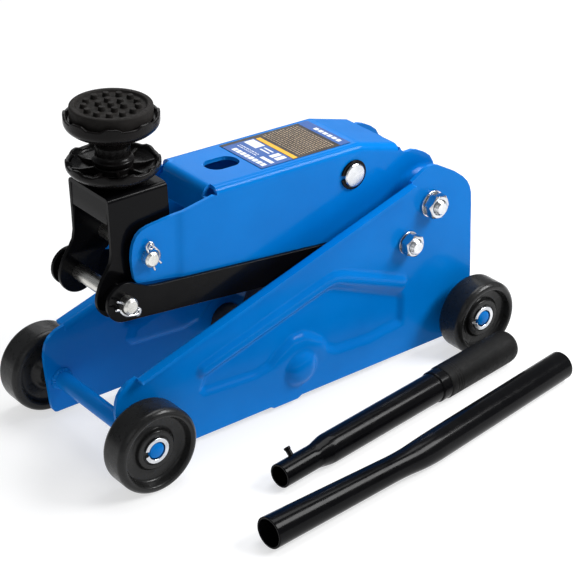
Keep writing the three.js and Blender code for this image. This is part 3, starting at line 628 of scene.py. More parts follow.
def hexagon(across_flats, low, high, bore=0.0):
    """A hexagon nut or bolt head with chamfered corners, along local z."""
    apothem = across_flats / 2
    count = 96
    circle = apothem * 0.95
    slope = tan(radians(30))
    rings = []
    for k in range(count):
        angle = TAU * k / count
        away = (angle + pi / 6) % (pi / 3) - pi / 6
        reach = apothem / cos(away)
        fall = (reach - circle) * slope
        rings.append([(circle, low), (reach, low + fall), (reach, high - fall), (circle, high), (bore, high)])
    verts = [(r * cos(TAU * k / count), r * sin(TAU * k / count), h)
             for k, ring in enumerate(rings) for r, h in ring]
    size = 5
    faces = []
    for k in range(count):
        n = (k + 1) % count
        for m in range(size - 1):
            faces.append((k * size + m, n * size + m, n * size + m + 1, k * size + m + 1))
    faces.append(tuple(k * size for k in range(count)))
    if bore > 0:
        return Shape(verts, faces)
    top = [k * size + 4 for k in range(count)]
    return Shape(verts, faces + [tuple(reversed(top))])


def threaded(radius, low, high, pitch=2.0):
    """A threaded shank with a chamfered end at the low end, along local z."""
    profile = [(0, low), (radius - 1.9, low), (radius - 0.7, low + 1.2)]
    z = low + 1.2
    while z < high - pitch:
        profile += [(radius, z + pitch * 0.4), (radius, z + pitch * 0.5), (radius - 0.8, z + pitch)]
        z += pitch
    profile += [(radius, high), (0, high)]
    return lathe(profile, 48)


def washer(at, inner, outer, low, high):
    profile = ring_profile(inner, outer, low, high, 0.5)
    return lathe(profile, 64, True).placed(along_y(at))


for prefix, at, flats, wide, turn in (
    ("arm_pivot", ARM_PIVOT, 24, 14.6, 0.35), ("link_pivot", LINK_PIVOT, 22, 12.6, 0.12),
):
    spin = Rotation(turn, 4, "Z")
    nut = hexagon(flats, 68.2, 78.5, 8.6).placed(along_y(at, True) @ spin)
    piece(f"{prefix}_nut_hex", nut, ZINC, "chassis", [f"{prefix}_nut"], angle=25)
    piece(f"{prefix}_washer_ring", washer(at, 8.3, wide, -67.6, -65.3), ZINC, "chassis",
          [f"{prefix}_washer"])
    shank = threaded(8.0, -82.5, 60).placed(along_y(at))
    head = hexagon(flats, 65.4, 76.3).placed(along_y(at) @ spin)
    under = washer(at, 7.5, wide, 65.3, 67.8)
    piece(f"{prefix}_bolt_body", shank + head + under, ZINC, "chassis", [f"{prefix}_bolt"], angle=25)
for prefix, at, radius, start in (
    ("arm_pivot", ARM_PIVOT, 12.5, 44.8), ("link_pivot", LINK_PIVOT, 10.5, 50.2),
):
    tube_wall = washer(at, 8.3, radius, start, 60.7)
    piece(f"{prefix}_tube_far", tube_wall, ZINC, "chassis", [f"{prefix}_spacer_right"])
    piece(f"{prefix}_tube_near", tube_wall.mirrored(), ZINC, "chassis", [f"{prefix}_spacer_left"])


# ---- lift arm
ARM_FOOT = [
    (20.4, 214), (21.2, 202), (22.6, 194), (24.5, 190.2), (28, 188.6), (60, 183), (101, 175.5),
    (160, 168), (225, 160), (300, 152.5), (322, 158), (336, 162), (348.9, 165.3), (352, 159.5),
    (357, 154), (364, 149.6), (372, 147.2), (381, 147.1), (390, 150), (397, 154.8), (402, 160.5),
    (405, 166.5), (406, 172),
]
ARM_CREST = [
    (20.4, 216), (21.2, 224), (23.4, 231.5), (27, 237.5), (32, 241.3), (40, 243.6), (72, 246.8),
    (101, 251.8), (114, 254), (118, 261), (298, 256.5), (347, 243), (350.5, 236.5), (354, 233.2),
    (358, 232.2), (366, 232.4), (374, 229.8), (384, 224.6), (391, 219), (396, 210.5), (398.5, 200),
    (402, 184), (406, 176),
]
ARM_FOLD = 8.0
ARM_SIDE = 44.5
ARM_EAR = 42.5
ARM_TOP_FROM, ARM_TOP_TO = 118.0, 347.0
LIP_HALF = 33.0
LIP_FOOT = 226.5
BOSS_HEIGHT = 11.5
FOLD_ROWS, CHEEK_ROWS = 7, 34


def arm_side(x, z):
    """Half width of the arm at a point of its cheek, with the joggle and the pivot boss."""
    width = ARM_EAR + (ARM_SIDE - ARM_EAR) * smooth_step((x - 71.5) / 7)
    far = hypot(x - ARM_PIVOT[0], z - ARM_PIVOT[1])
    # The links sweep past below the pivot, so the boss is only raised above it.
    below = ARM_PIVOT[1] - z
    return width + BOSS_HEIGHT * (1 - smooth_step((far - 22) / 14.5)) * (1 - smooth_step((below + 14) / 14))


def arm_section(x):
    """One cross-section from the near cheek's foot over the top to the far cheek's foot."""
    foot, crest = along(ARM_FOOT, x), along(ARM_CREST, x)
    folded = ARM_TOP_FROM - 1e-6 <= x <= ARM_TOP_TO + 1e-6
    top = crest - ARM_FOLD if folded else crest
    half = []
    for j in range(CHEEK_ROWS):
        z = foot + (top - foot) * j / (CHEEK_ROWS - 1)
        half.append((x, -arm_side(x, z), z))
    for j in range(1, FOLD_ROWS + 1):
        angle = pi / 2 * j / FOLD_ROWS
        across = ARM_SIDE - ARM_FOLD * (1 - cos(angle))
        half.append((x, -across, top + ARM_FOLD * sin(angle)))
    flats = [-LIP_HALF + LIP_HALF * k / 12 for k in range(12)]
    half += [(x, y, top + ARM_FOLD) for y in flats]
    full = half + [(x, 0, top + ARM_FOLD)] + [(px, -py, pz) for px, py, pz in reversed(half)]
    return full, folded


def lift_arm_sheet():
    stops = sorted({x for x, _ in ARM_FOOT + ARM_CREST})
    xs = spaced(stops, 4.0)
    sections = [arm_section(x) for x in xs]
    rows = len(sections[0][0])
    folded = [s[1] for s in sections]

    def keep(i, j):
        on_cheek = j < CHEEK_ROWS - 1 or j >= rows - CHEEK_ROWS
        return on_cheek or (folded[i] and folded[i + 1])

    verts = [v for s in sections for v in s[0]]
    return Shape(verts, grid_faces(len(xs), rows, keep))


def arm_lip():
    """The front end of the arm's top, turned down between the cheeks."""
    bend = 8.0
    path = [(109.6, LIP_FOOT + 2.4 * k) for k in range(11)]
    path += [(118 - bend * cos(pi / 2 * k / 6), 261 - bend + bend * sin(pi / 2 * k / 6))
             for k in range(7)]
    path[-1] = (118, 261)
    verts = []
    for x, z in path:
        half = LIP_HALF + 6.6 * (1 - smooth_step((z - 246) / 5))
        verts += [(x, -half + half * k / 12, z) for k in range(25)]
    return Shape(verts, grid_faces(len(path), 25))


arm = to_object("lift_arm_shell", lift_arm_sheet() + arm_lip())
tidy(arm, outward=False, merge=0.001)
thicken(arm, 4.0)
HOLE_X, HOLE_RADIUS, HOLE_STRETCH = 156, 12.5, 6.5
hole = []
for k in range(48):
    angle = TAU * k / 48
    shift = copysign(HOLE_STRETCH, cos(angle)) if abs(cos(angle)) > 1e-9 else 0
    hole.append((HOLE_X + shift + HOLE_RADIUS * cos(angle), HOLE_RADIUS * sin(angle)))
combine(arm, between([(x, y, 245) for x, y in hole], [(x, y, 275) for x, y in hole]), "DIFFERENCE")
bevel(arm, 0.8, 3, 50)
finish_piece(arm, BLUE, "lift_arm", ["lift_arm"], 40)

pin_profile = [(0, -49.6), (8, -49.6), (11.2, -49.2), (12.3, -48.2), (12.5, -46.5), (12.5, 44.8),
               (15.2, 44.8), (15.5, 45.4), (15.5, 48.2), (14.4, 49.5), (0, 49.5)]
piece("ram_pin_rod", lathe(pin_profile, 64).placed(along_y(RAM_PIN)), ZINC, "lift_arm", ["ram_pin"])
piece("ram_pin_circlip", open_ring(RAM_PIN, 12.7, 15.6, -46.8, -44.8, 0.35), BLACK, "lift_arm",
      ["ram_pin_ring"])
piece("ram_pin_roller", washer(RAM_PIN, 12.8, 16, -39.5, 39.5), STEEL, "lift_arm",
      ["ram_pin_sleeve"])

# Label: a base sheet with colour blocks laid on it. u runs along the arm, v across it.
LABEL_FROM, LABEL_LONG, LABEL_HALF = 179.0, 112.0, 34.0
SHEET, BLOCK, PRINT = 0.12, 0.3, 0.42
DASH = 1.0
label_lean = atan2(256.5 - 261, 298 - 118)


def label_block(u0, u1, v0, v1, height):
    def corners(lift):
        spots = [(LABEL_FROM + u * cos(label_lean), v) for u, v in ((u0, v0), (u1, v0), (u1, v1), (u0, v1))]
        return [(x, v, along(ARM_CREST, x) + 0.32 + lift) for x, v in spots]

    return between(corners(height - 0.1), corners(height))


def print_rows(u_start, u_end, pitch, v_low, v_high, seed):
    """Rows of short dashes that stand for small print."""
    made = Shape()
    u = u_start
    count = seed
    while u < u_end:
        v = v_low
        while v < v_high - 1:
            count = (count * 73 + 41) % 101
            dash = 1.5 + 3.5 * (count / 101)
            made = made + label_block(u, u + DASH, v, min(v + dash, v_high), PRINT)
            v += dash + 1.1
        u += pitch
    return made


def label_piece(name, shape, ink, nodes=()):
    made = to_object(name, shape)
    tidy(made, merge=0.0001)
    finish_piece(made, INKS[ink], "lift_arm", nodes)


label_piece("label_sheet", label_block(0, LABEL_LONG, -LABEL_HALF, LABEL_HALF, SHEET), "black",
            ["arm_label"])
label_piece("label_blue", label_block(0, 39, -LABEL_HALF, 29, BLOCK)
            + label_block(99, LABEL_LONG, -LABEL_HALF, LABEL_HALF, BLOCK), "blue")
label_piece("label_yellow", label_block(40, 45.5, -33, 27, BLOCK), "yellow")
marks = [(25, 37, 8, 27)] + [(4, 10, -30 + 6.4 * k, -25 + 6.4 * k) for k in range(8)]
marks += [(24, 36, -28, -22), (24, 36, -20, -14), (27, 29, -10, 4), (32, 34, -10, 4), (14.5, 19, -30, -12)]
marks += [(103, 108, v, v + 5.2) for v in (-26, -19, -12, -5, 2, 9)]
white = print_rows(14.5, 18, 3.2, -6, 24, 17)
for mark in marks:
    white = white + label_block(*mark, PRINT)
label_piece("label_white", white, "white")
label_piece("label_rows", print_rows(50, 96, 3.3, -30, 30, 5), "tan")


# ---- head pins and clips
def head_pin(name, at, near_end, far_face, node, body):
    profile = [
        (0, -near_end), (5.8, -near_end), (7.6, -near_end + 1.4), (8, -near_end + 2.4), (8, far_face),
        (10.6, far_face), (11, far_face + 0.5), (11, far_face + 3.2), (10, far_face + 4), (0, far_face + 4),
    ]
    piece(name, lathe(profile, 48).placed(along_y(at)), PIN, body, [node], angle=35)


def hairpin(name, at, depth, turn, node, body):
    hug = 9.7
    leg = [(0, -hug - 5), (0, -hug), (0, 0), (0, hug), (0.2, hug + 2)]
    eye = [(1.2, hug + 5), (4.2, hug + 6.6), (6.8, hug + 4.6), (6.4, hug + 1.6), (3.6, hug + 0.4)]
    bow = [(1.6, hug + 2.2), (3.4, hug + 4.6), (5.6, hug + 3.0), (8.4, 6.2), (hug, 2.4), (hug, -2),
           (8.0, -6), (6.9, -hug + 2.5), (8.4, -hug - 2.4)]
    flat = leg + eye
    points = []
    for k, (u, w) in enumerate(flat + bow):
        if k < len(flat) + 4:
            lift = 2.0 * smooth_step((k - 5) / 4)
        else:
            lift = 2.0 * (1 - smooth_step((k - len(flat) - 3) / 4))
        points.append((u, -lift, w))
    path = smooth_path(points, 5)
    place = Translation((at[0], -depth, at[1])) @ Rotation(turn, 4, "Y")
    piece(name, tube(path, 1.15).placed(place), ZINC, body, [node], angle=60)


head_pin("upper_pin_rod", UPPER_HEAD, 51.5, 42.8, "upper_head_pin", "lift_arm")
head_pin("lower_pin_rod", LOWER_HEAD, 60, 50.2, "lower_head_pin", "saddle_bracket")
hairpin("upper_hairpin", UPPER_HEAD, 46, -0.33, "upper_head_clip", "lift_arm")
hairpin("lower_hairpin", LOWER_HEAD, 54.5, 2.1, "lower_head_clip", "saddle_bracket")

# ---- link arms
link_slope = atan2(LINK_PIVOT[1] - LOWER_HEAD[1], LINK_PIVOT[0] - LOWER_HEAD[0])
link_length = hypot(LINK_PIVOT[1] - LOWER_HEAD[1], LINK_PIVOT[0] - LOWER_HEAD[0])
LINK_END = 20.0
LINK_IN, LINK_OUT = 44.9, 49.2
link_outline = arc((0, 0), LINK_END, [radians(58 + 10.6 * k) for k in range(21)])
link_outline += arc((link_length, 0), LINK_END, [radians(-90 + 12 * k) for k in range(16)])
link_outline += [(link_length - 18, 15), (link_length - 34, 11), (36, 11), (24, 12)]
link_place = (Translation((LOWER_HEAD[0], 0, LOWER_HEAD[1]))
              @ Rotation(-link_slope, 4, "Y"))
near_link = prism(link_outline, -LINK_OUT, -LINK_IN).placed(link_place)
piece("link_bar_near", near_link, BLACK, "link_arms", ["link_arm_left"], 0.8, steps=3)
piece("link_bar_far", near_link.mirrored(), BLACK, "link_arms", ["link_arm_right"], 0.8, steps=3)
link_boss = washer(LOWER_HEAD, 8.4, 14, -LINK_IN, -33.8)
piece("link_bosses", link_boss + link_boss.mirrored(), BLACK, "link_arms")

# ---- saddle bracket
BRACKET_TOP = 277.5
BRACKET_HALF = 33.5
BRACKET_GAUGE = 4.2
BRACKET_FOLD = 5.0
BRACKET_FRONT = 2.8
cheek = [(BRACKET_FRONT, 278), (68.5, 278), (70.5, 246), (69, 232), (62.5, 216), (53, 204), (44, 196),
         (35.5, 189.5), (31, 182), (29, 172)]
cheek += arc(LOWER_HEAD, 21.5, [-0.3 - 0.165 * k for k in range(20)])
cheek += [(-9.5, 193), (-6, 199), (-1, 206), (3, 213), (4.6, 222), (4.2, 242)]


def folded_section(half, gauge, fold, top, foot):
    """An inverted U in the (y, z) plane, outer face then inner face."""
    quarter = [pi / 2 * k / 6 for k in range(7)]
    faces = []
    for inset in (0, gauge):
        side = [(half - inset, foot)] + arc((half - fold, top - fold), fold - inset, quarter)
        faces.append(side + [(-y, z) for y, z in reversed(side)])
    return faces[0] + faces[1][::-1]


section = folded_section(BRACKET_HALF, BRACKET_GAUGE, BRACKET_FOLD, BRACKET_TOP, 150)
channel = between([(-20, y, z) for y, z in section], [(80, y, z) for y, z in section])
bracket = to_object("bracket_body", channel)
tidy(bracket)
combine(bracket, prism(cheek, -40, 40), "INTERSECT")
inner_half = BRACKET_HALF - BRACKET_GAUGE + 0.4
near, far = BRACKET_FRONT + 1.2, BRACKET_FRONT + 5
strip = prism([(near, 250), (far, 250), (far, 274.5), (near, 274.5)], -inner_half, inner_half)
combine(bracket, strip, "UNION")
tidy(bracket)
bevel(bracket, 0.9, 3, 35)
finish_piece(bracket, BLACK, "saddle_bracket", ["saddle_bracket"], 45)

# ---- saddles and pad
SADDLE_X = 32.0
AT_SADDLE = along_z(SADDLE_X)
CUP = 44.6


def notched(count, rim_from, half_angle, depth, phase=0.0, slope=0.12):
    """Lowers a cup's rim in evenly spaced notches with sloping sides."""

    def warp(angle, r, h):
        if r < CUP - 6 or h < rim_from:
            return r, h
        away = abs((angle - phase) % (TAU / count) - TAU / count / 2)
        dip = 1 - smooth_step((away - half_angle) / slope)
        return r, h - depth * dip

    return warp


base_profile = fillet(
    [(0, 262), (10, 262), (10, 277.8), (24, 277.8), (29, 282.5), (41.5, 289), (44.6, 293),
     (44.6, 300), (40.6, 300), (39, 294), (30, 289.3), (18.6, 288), (18.2, 294.5), (13, 294.5),
     (12.6, 285.5), (0, 285.5)],
    [0, 0.5, 0.5, 1.5, 3, 3, 2.5, 1.9, 1.7, 2.5, 3, 1.5, 1.2, 0.8, 0.4, 0], 4)
base = lathe(base_profile, 144, False, notched(10, 295.5, 0.1, 2.2, 0.1, 0.16)).placed(AT_SADDLE)
ribs = Shape()
for k in range(8):
    angle = TAU * (k + 0.5) / 8
    rib = fillet([(17, 287), (17.5, 293.3), (30, 292.7), (40.6, 295), (40.6, 288.5), (30, 286.5)],
                 1.0, 3, True)
    turn = AT_SADDLE @ Rotation(angle, 4, "Z")
    ribs = ribs + prism(rib, -1.5, 1.5).placed(turn)
piece("base_saddle_cup", base, CAST_BLACK, "base_saddle", ["base_saddle"], angle=50)
piece("base_saddle_ribs", ribs, CAST_BLACK, "base_saddle", (), 0.6)
clip_ring = lathe(ring_profile(10.2, 15, 265.5, 267.2, 0.4), 48, True)
piece("saddle_stem_clip", clip_ring.placed(AT_SADDLE), STEEL, "base_saddle",
      ["base_saddle_clip"])

extension_profile = fillet(
    [(0, 285.8), (12.2, 285.8), (12.2, 295.5), (19.5, 296.5), (20, 300.5), (16.5, 303.5), (16.5, 316),
     (20, 321), (28, 324.5), (38, 328.8), (44.6, 334.8), (44.6, 346.3), (41.2, 346.3),
     (40.2, 339.5), (0, 339.5)],
    [0, 0.6, 0.6, 1.2, 1.4, 3, 6, 3, 4, 4, 4, 2.2, 1.5, 0.5, 0], 5)
extension = lathe(extension_profile, 144, False, notched(8, 341, 0.14, 2.8, 0.2, 0.14))
extension = extension.placed(AT_SADDLE)
piece("extension_saddle_cup", extension, CAST_BLACK, "extension_saddle",
      ["extension_saddle"], angle=50)

pad_profile = fillet(
    [(0, 339.8), (37.3, 339.8), (38.6, 341.5), (38.6, 352.6), (37.4, 353.8), (33.4, 353.8),
     (32, 351.1), (0, 350.9)],
    [0, 0.8, 0.8, 1.1, 0.9, 1.0, 1.0, 0], 4)
pad = lathe(pad_profile, 96).placed(AT_SADDLE)
piece("pad_disc", pad, RUBBER, "extension_saddle", ["rubber_pad"], angle=50)
stud_profile = fillet([(0, 354.9), (2.7, 354.9), (3.0, 354.1), (3.5, 350.5), (0, 350.5)], 0.5, 2)
studs = Shape()
for count, radius in ((1, 0.0), (6, 12.0), (13, 25.0)):
    for k in range(count):
        angle = TAU * k / count + 0.2
        spot = along_z(SADDLE_X + radius * cos(angle), radius * sin(angle))
        studs = studs + lathe(stud_profile, 20).placed(spot)
piece("pad_studs", studs, RUBBER, "extension_saddle", (), angle=50)

# ---- power unit
PLUNGER_X = 386
VALVE_Y, VALVE_Z = -21, 48
UNIT_TOP = 129
unit_tilt = atan2(RAM_PIN[0] - TRUNNION[0], RAM_PIN[1] - TRUNNION[1])
unit_reach = hypot(RAM_PIN[0] - TRUNNION[0], RAM_PIN[1] - TRUNNION[1])
LEANED = Translation((TRUNNION[0], 0, TRUNNION[1])) @ Rotation(unit_tilt, 4, "Y")


def rod_y(at, radius, y_low, y_high, segments=48, edge=0.8):
    profile = fillet([(0, y_low), (radius, y_low), (radius, y_high), (0, y_high)], [0, edge, edge, 0], 3)
    return lathe(profile, segments).placed(along_y(at))


pump_outline = [
    (184, 20), (400, 20), (402, 22), (402, 44), (372, 44), (330, 54), (250, 58),
    (232, 66), (186, 60), (176, 44)]
pump = to_object("pump_casting", prism(fillet(pump_outline, 4, 3, True), -30, 30))
tidy(pump)
lug = [(332, 46), (376, 42), (364, 70)]
lug += arc(SOCKET_PIVOT, 13, [0.3 + 0.26 * k for k in range(11)])
collar = lathe(fillet([(0, 2), (38, 2), (38, 24), (32.6, 24), (32.6, 23), (0, 23)],
                      [0, 3, 2, 0.3, 0.3, 0], 4), 72)
valve_boss = lathe(fillet([(0, 374), (10, 374), (10, 400), (0, 400)], [0, 1, 1.5, 0], 3), 48)
well = lathe([(0, 24.05), (32.55, 24.05), (32.55, UNIT_TOP), (0, UNIT_TOP)], 72)
bore = lathe([(0, 24), (13.3, 24), (13.3, 45.5), (15, 45.5), (15, 70), (0, 70)], 48)
for part, operation in (
    (prism(lug, -12, 12), "UNION"),
    (collar.placed(LEANED), "UNION"),
    (rod_y(TRUNNION, 19.5, -64, 64), "UNION"),
    (valve_boss.placed(along_x(VALVE_Y, VALVE_Z)), "UNION"),
    (well.placed(LEANED), "DIFFERENCE"),
    (bore.placed(along_z(PLUNGER_X)), "DIFFERENCE"),
):
    combine(pump, part, operation)
tidy(pump)
bevel(pump, 1.0, 2, 45)
finish_piece(pump, IRON, "power_unit", ["pump_body"], 40)

HEAD_FOOT = unit_reach - 29
LEANING_PARTS = (
    ("reservoir_shell", ring_profile(28.5, 32, 24.3, UNIT_TOP), IRON, "power_unit", "reservoir_tube"),
    ("pressure_shell", ring_profile(16.2, 22, 24.3, UNIT_TOP), STEEL, "power_unit", "pressure_cylinder"),
    ("top_nut_cap", fillet([(16.2, 129.3), (32, 129.3), (32, 141), (28.5, 144), (16.2, 144)], 1.2, 3, True),
     BLACK, "power_unit", "cylinder_top_nut"),
    ("ram_rod", fillet([(0, 54.5), (15.7, 54.5), (15.7, 58), (12.5, 58), (12.5, 62), (15.7, 62),
                        (15.7, HEAD_FOOT - 0.3), (0, HEAD_FOOT - 0.3)],
                       [0, 0.4, 0.2, 0.2, 0.2, 0.2, 1, 0], 3),
     ZINC, "ram", "ram"),
    ("ram_seal_ring", ring_profile(12.8, 15.9, 58.3, 61.7, 0.5), RUBBER, "ram", "ram_seal"),
    ("ram_cap", fillet([(0, HEAD_FOOT), (20, HEAD_FOOT), (26, HEAD_FOOT + 4), (26, HEAD_FOOT + 10),
                        (0, HEAD_FOOT + 10)], [0, 1, 1.5, 1.2, 0], 4), STEEL, "ram", "ram_head"),
)
for name, profile, material, body, node in LEANING_PARTS:
    is_ring = profile[0][0] > 0
    piece(name, lathe(profile, 72, is_ring).placed(LEANED), material, body, [node], angle=45)
plug = lathe(fillet([(0, -27), (4.3, -27), (4.3, -33), (6.5, -33), (6.5, -35.2), (0, -35.2)],
                    [0, 0.5, 0.2, 0.5, 0.8, 0], 3), 32)
plug_place = LEANED @ Translation((0, 0, 104)) @ Rotation(pi / 2, 4, "Y")
piece("filler_plug_cap", plug.placed(plug_place), RUBBER, "power_unit", ["filler_plug"])

barrel = fillet([(8.2, 24.3), (13, 24.3), (13, 46), (14.5, 46), (14.5, 52), (8.2, 52)], 0.7, 3, True)
piece("pump_barrel_sleeve", lathe(barrel, 48, True).placed(along_z(PLUNGER_X)), STEEL, "power_unit",
      ["pump_barrel"])
plunger = fillet([(0, 26), (8, 26), (8, 56), (6, 57.5), (0, 57.5)], [0, 1, 0.8, 0.8, 0], 3)
piece("pump_plunger_rod", lathe(plunger, 48).placed(along_z(PLUNGER_X)), ZINC, "pump_plunger",
      ["pump_plunger"])
plug_at = (290, 38)
overload = hexagon(16, 30.3, 36).placed(along_y(plug_at, True)) + rod_y(plug_at, 6, -31, -22, 32)
piece("overload_plug_hex", overload, ZINC, "power_unit", ["overload_valve_plug"], angle=25)
valve = lathe(fillet([(0, 382), (5, 382), (5, 408), (0, 408)], [0, 0.8, 1.2, 0], 3), 32)
valve = valve.placed(along_x(VALVE_Y, VALVE_Z)) + rod_y((405, VALVE_Z), 1.8, -29, -13, 20, 0.5)
piece("release_valve_stem", valve, ZINC, "release_valve", ["release_valve"], angle=45)

# ---- handle socket
SOCKET_LEAN = radians(27)
INCLINED = (Translation((SOCKET_PIVOT[0], 0, SOCKET_PIVOT[1]))
            @ Rotation(-SOCKET_LEAN, 4, "Y"))
socket_profile = fillet([(0, 22), (19, 22), (19, 130), (15.8, 130), (15.8, 31), (0, 31)],
                        [0, 2, 1.2, 1.0, 0.6, 0], 4)
socket = to_object("socket_barrel", lathe(socket_profile, 72).placed(INCLINED @ along_x(0, 0)))
tidy(socket)
ear = arc((0, 0), 12, [pi / 2 + pi * k / 16 for k in range(17)])
ear += [(36, -12), (36, 12)]
near_ear = prism(ear, -17.5, -12.5)
combine(socket, near_ear.placed(INCLINED), "UNION")
combine(socket, near_ear.mirrored().placed(INCLINED), "UNION")
screw_at = (108, 0)
combine(socket, rod_y(screw_at, 4.25, -30, -10, 32, 0).placed(INCLINED), "DIFFERENCE")
tidy(socket)
bevel(socket, 0.6, 2, 45)
finish_piece(socket, BLACK, "handle_socket", ["handle_socket"], 40)
screw = (threaded(4.0, 16.5, 24, 1.25) + hexagon(13, 22, 29)).placed(along_y(screw_at, True))
piece("socket_screw", screw.placed(INCLINED), ZINC, "handle_socket", ["socket_clamp_screw"], angle=25)
pivot_pin = rod_y(SOCKET_PIVOT, 6, -20.5, 18) + rod_y(SOCKET_PIVOT, 8.5, 17.8, 20.5)
piece("socket_pin_rod", pivot_pin, ZINC, "handle_socket", ["socket_pivot_pin"])
piece("socket_pin_clip", washer(SOCKET_PIVOT, 6.2, 8.5, -19.2, -17.8), STEEL, "handle_socket",
      ["socket_pin_ring"])


# ---- two-piece handle
def on_floor(x, y, yaw, front, rear):
    """Local +x runs along a handle piece that rests on two shoulders (radius, distance)."""
    pitch = atan2(rear[0] - front[0], rear[1] - front[1])
    height = front[0] * cos(pitch) - front[1] * sin(pitch)
    turn = Rotation(radians(yaw), 4, "Z") @ Rotation(-pitch, 4, "Y")
    return Translation((x, y, height)) @ turn


def rounded_tube(outer, wall, mouth_edge, bends):
    """A closed tube profile from its outer (radius, distance) points."""
    inner = [(radius - wall, distance) for radius, distance in reversed(outer)]
    sizes = [mouth_edge] + [bends] * (len(outer) - 2) + [mouth_edge]
    return fillet(outer + inner, sizes + sizes, 6, True)


UPPER = on_floor(92.4, -174, 6.8, (15.6, 65), (17.8, 236.5))
UPPER_AXIS = UPPER @ along_x(0, 0)
LOWER = on_floor(26.6, -240.7, 3.4, (16.0, 0), (15.4, 429))
LOWER_TURN = radians(5.3)
upper_profile = rounded_tube([(12.4, 0), (12.4, 46), (15.6, 65), (15.6, 337)], 2.2, 0.8, 5)


def hammered(angle, r, distance):
    """Small flats where the neck is drawn down, between 40 and 66 mm from the mouth."""
    share = exp(-(((distance - 53) / 8) ** 2))
    return r + share * (0.35 * sin(6 * angle + 0.2 * distance) - 0.2), distance


tube_shape = lathe(upper_profile, 96, True, hammered).placed(UPPER_AXIS)
piece("upper_tube", tube_shape, BLACK, "upper_handle", ["upper_handle_tube"], angle=50)
peg = lathe(fillet([(0, 9.3), (2.8, 9.3), (2.8, 17.9), (3.4, 18.4), (3.4, 20.6), (2.8, 21), (0, 21)],
                   [0, 0.4, 0.4, 0.6, 0.8, 0.6, 0], 3), 24)
peg_turn = Translation((24, 0, 0)) @ Rotation(-pi / 4, 4, "X")
piece("lock_peg", peg.placed(UPPER @ peg_turn), BLACK, "upper_handle", ["handle_lock_peg"],
      angle=50)
collar_ring = fillet([(15.9, 222), (16.1, 222), (16.9, 223.4), (16.9, 234.7), (15.9, 234.7)], 0.7, 3, True)
piece("grip_collar_ring", lathe(collar_ring, 72, True).placed(UPPER_AXIS), BLACK, "upper_handle",
      ["grip_collar"], angle=50)
grip_profile = [(15.9, 235), (16.9, 235), (17.8, 236.4)]
for k in range(3):
    start = 243 + 3.6 * k
    grip_profile += [(17.8, start), (17.3, start + 0.6), (17.3, start + 1.4), (17.8, start + 2.0)]
grip_profile += [(17.8, 333), (17.4, 338), (16.0, 342), (13.2, 345), (8, 346.6), (0, 346.9), (0, 337.6),
                 (15.9, 337.6)]
grip = lathe(grip_profile, 72, True).placed(UPPER_AXIS)
piece("handle_grip_sleeve", grip, GRIP, "upper_handle", ["handle_grip"], angle=50)

# The lower piece turns gently between 172 and 224 mm from its mouth.
TURN_FROM, TURN_LONG, TURN_STEPS = 172.0, 52.0, 26
turn_line = [(TURN_FROM, 0.0)]
for k in range(TURN_STEPS):
    heading = LOWER_TURN * smooth_step((k + 0.5) / TURN_STEPS)
    px, py = turn_line[-1]
    step = TURN_LONG / TURN_STEPS
    turn_line.append((px + step * cos(heading), py + step * sin(heading)))


def turned_point(point):
    """Moves a point of the straight lower tube onto its turned axis."""
    distance, across, height = point
    share = max(0.0, min(1.0, (distance - TURN_FROM) / TURN_LONG))
    heading = LOWER_TURN * smooth_step(share)
    place = share * TURN_STEPS
    k = min(int(place), TURN_STEPS - 1)
    (ax, ay), (bx, by) = turn_line[k], turn_line[k + 1]
    px, py = ax + (bx - ax) * (place - k), ay + (by - ay) * (place - k)
    beyond = distance - TURN_FROM - share * TURN_LONG
    px, py = px + beyond * cos(heading), py + beyond * sin(heading)
    return Vector((px - across * sin(heading), py + across * cos(heading), height))


lower_profile = rounded_tube(
    [(16.0, 0), (14.5, 82), (13.0, 160), (13.4, 176), (14.9, 195), (15.6, 212), (15.6, 230), (15.4, 429)],
    2.2, 0.9, 7)
fine = []
for (r0, s0), (r1, s1) in zip(lower_profile, lower_profile[1:] + lower_profile[:1]):
    parts = max(1, ceil(abs(s1 - s0) / 8))
    fine += [(r0 + (r1 - r0) * k / parts, s0 + (s1 - s0) * k / parts) for k in range(parts)]
straight = lathe(fine, 72, True).placed(along_x(0, 0))
lower_shape = Shape([turned_point(v) for v in straight.verts], straight.faces).placed(LOWER)
piece("lower_tube", lower_shape, BLACK, "lower_handle", ["lower_handle_tube"], angle=50)

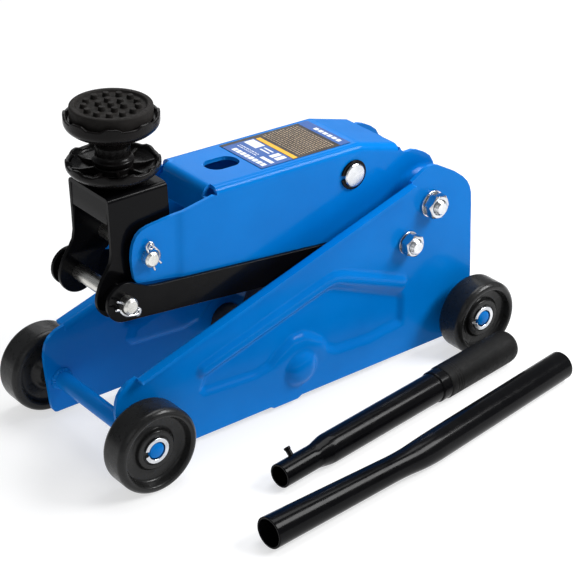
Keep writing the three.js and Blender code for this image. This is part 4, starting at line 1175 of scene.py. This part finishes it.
# ---- floor, light, camera
floor_mesh = bpy.data.meshes.new("floor")
REACH = 14.0
floor_mesh.from_pydata([(-REACH, -REACH, 0), (REACH, -REACH, 0), (REACH, REACH, 0), (-REACH, REACH, 0)], [],
                       [(0, 1, 2, 3)])
floor = in_scene("floor", floor_mesh)
floor_paint = surface("floor_paper", (0.42, 0.42, 0.42), (0.45, 0.45, 0.45), (0.7, 0.8), patch=2, bump=0.0,
                      specular=0.1)
floor_shader = floor_paint.node_tree.nodes["Principled BSDF"]
set_inputs(floor_shader, Emission_Color=(1, 1, 1, 1), Emission_Strength=0.62)
floor_mesh.materials.append(floor_paint)

world = bpy.data.worlds.new("studio")
bpy.context.scene.world = world
world.use_nodes = True
set_inputs(world.node_tree.nodes["Background"], Color=(0.93, 0.96, 1.0, 1), Strength=0.24)


def soft_light(name, place, size, power, target=(0, 0, 0.12)):
    data = bpy.data.lights.new(name, "AREA")
    data.shape = "RECTANGLE"
    data.size, data.size_y = size
    data.energy = power
    made = in_scene(name, data)
    made.location = place
    made.rotation_euler = (Vector(target) - Vector(place)).to_track_quat("-Z", "Y").to_euler()


soft_light("key", (0.85, -0.75, 1.1), (0.7, 0.5), 21, (0.12, 0, 0.2))
soft_light("top", (0.5, 0.3, 1.9), (1.2, 1.2), 24)
soft_light("fill", (-1.5, -1.2, 1.1), (1.2, 1.0), 3)
soft_light("back", (0.9, 1.9, 1.3), (1.6, 1.0), 6)

camera_data = bpy.data.cameras.new("camera")
camera_data.lens = 115.73
camera_data.sensor_width = 36
camera_data.shift_x = 0.0076
camera_data.shift_y = 0.0608
camera_data.clip_end = 60
camera = in_scene("camera", camera_data)
forward = Vector((0.5447, 0.6777, -0.4939)).normalized()
level = Vector((forward.y, -forward.x, 0)).normalized()
upward = level.cross(forward).normalized()
roll = radians(0.55)
right = level * cos(roll) + upward * sin(roll)
top = upward * cos(roll) - level * sin(roll)
camera_turn = Matrix((right, top, -forward)).transposed().to_4x4()
camera.matrix_world = Translation(ORIGIN + Vector((-0.8193, -1.3121, 1.0106))) @ camera_turn
bpy.context.scene.camera = camera
bpy.context.scene.view_settings.view_transform = "Standard"
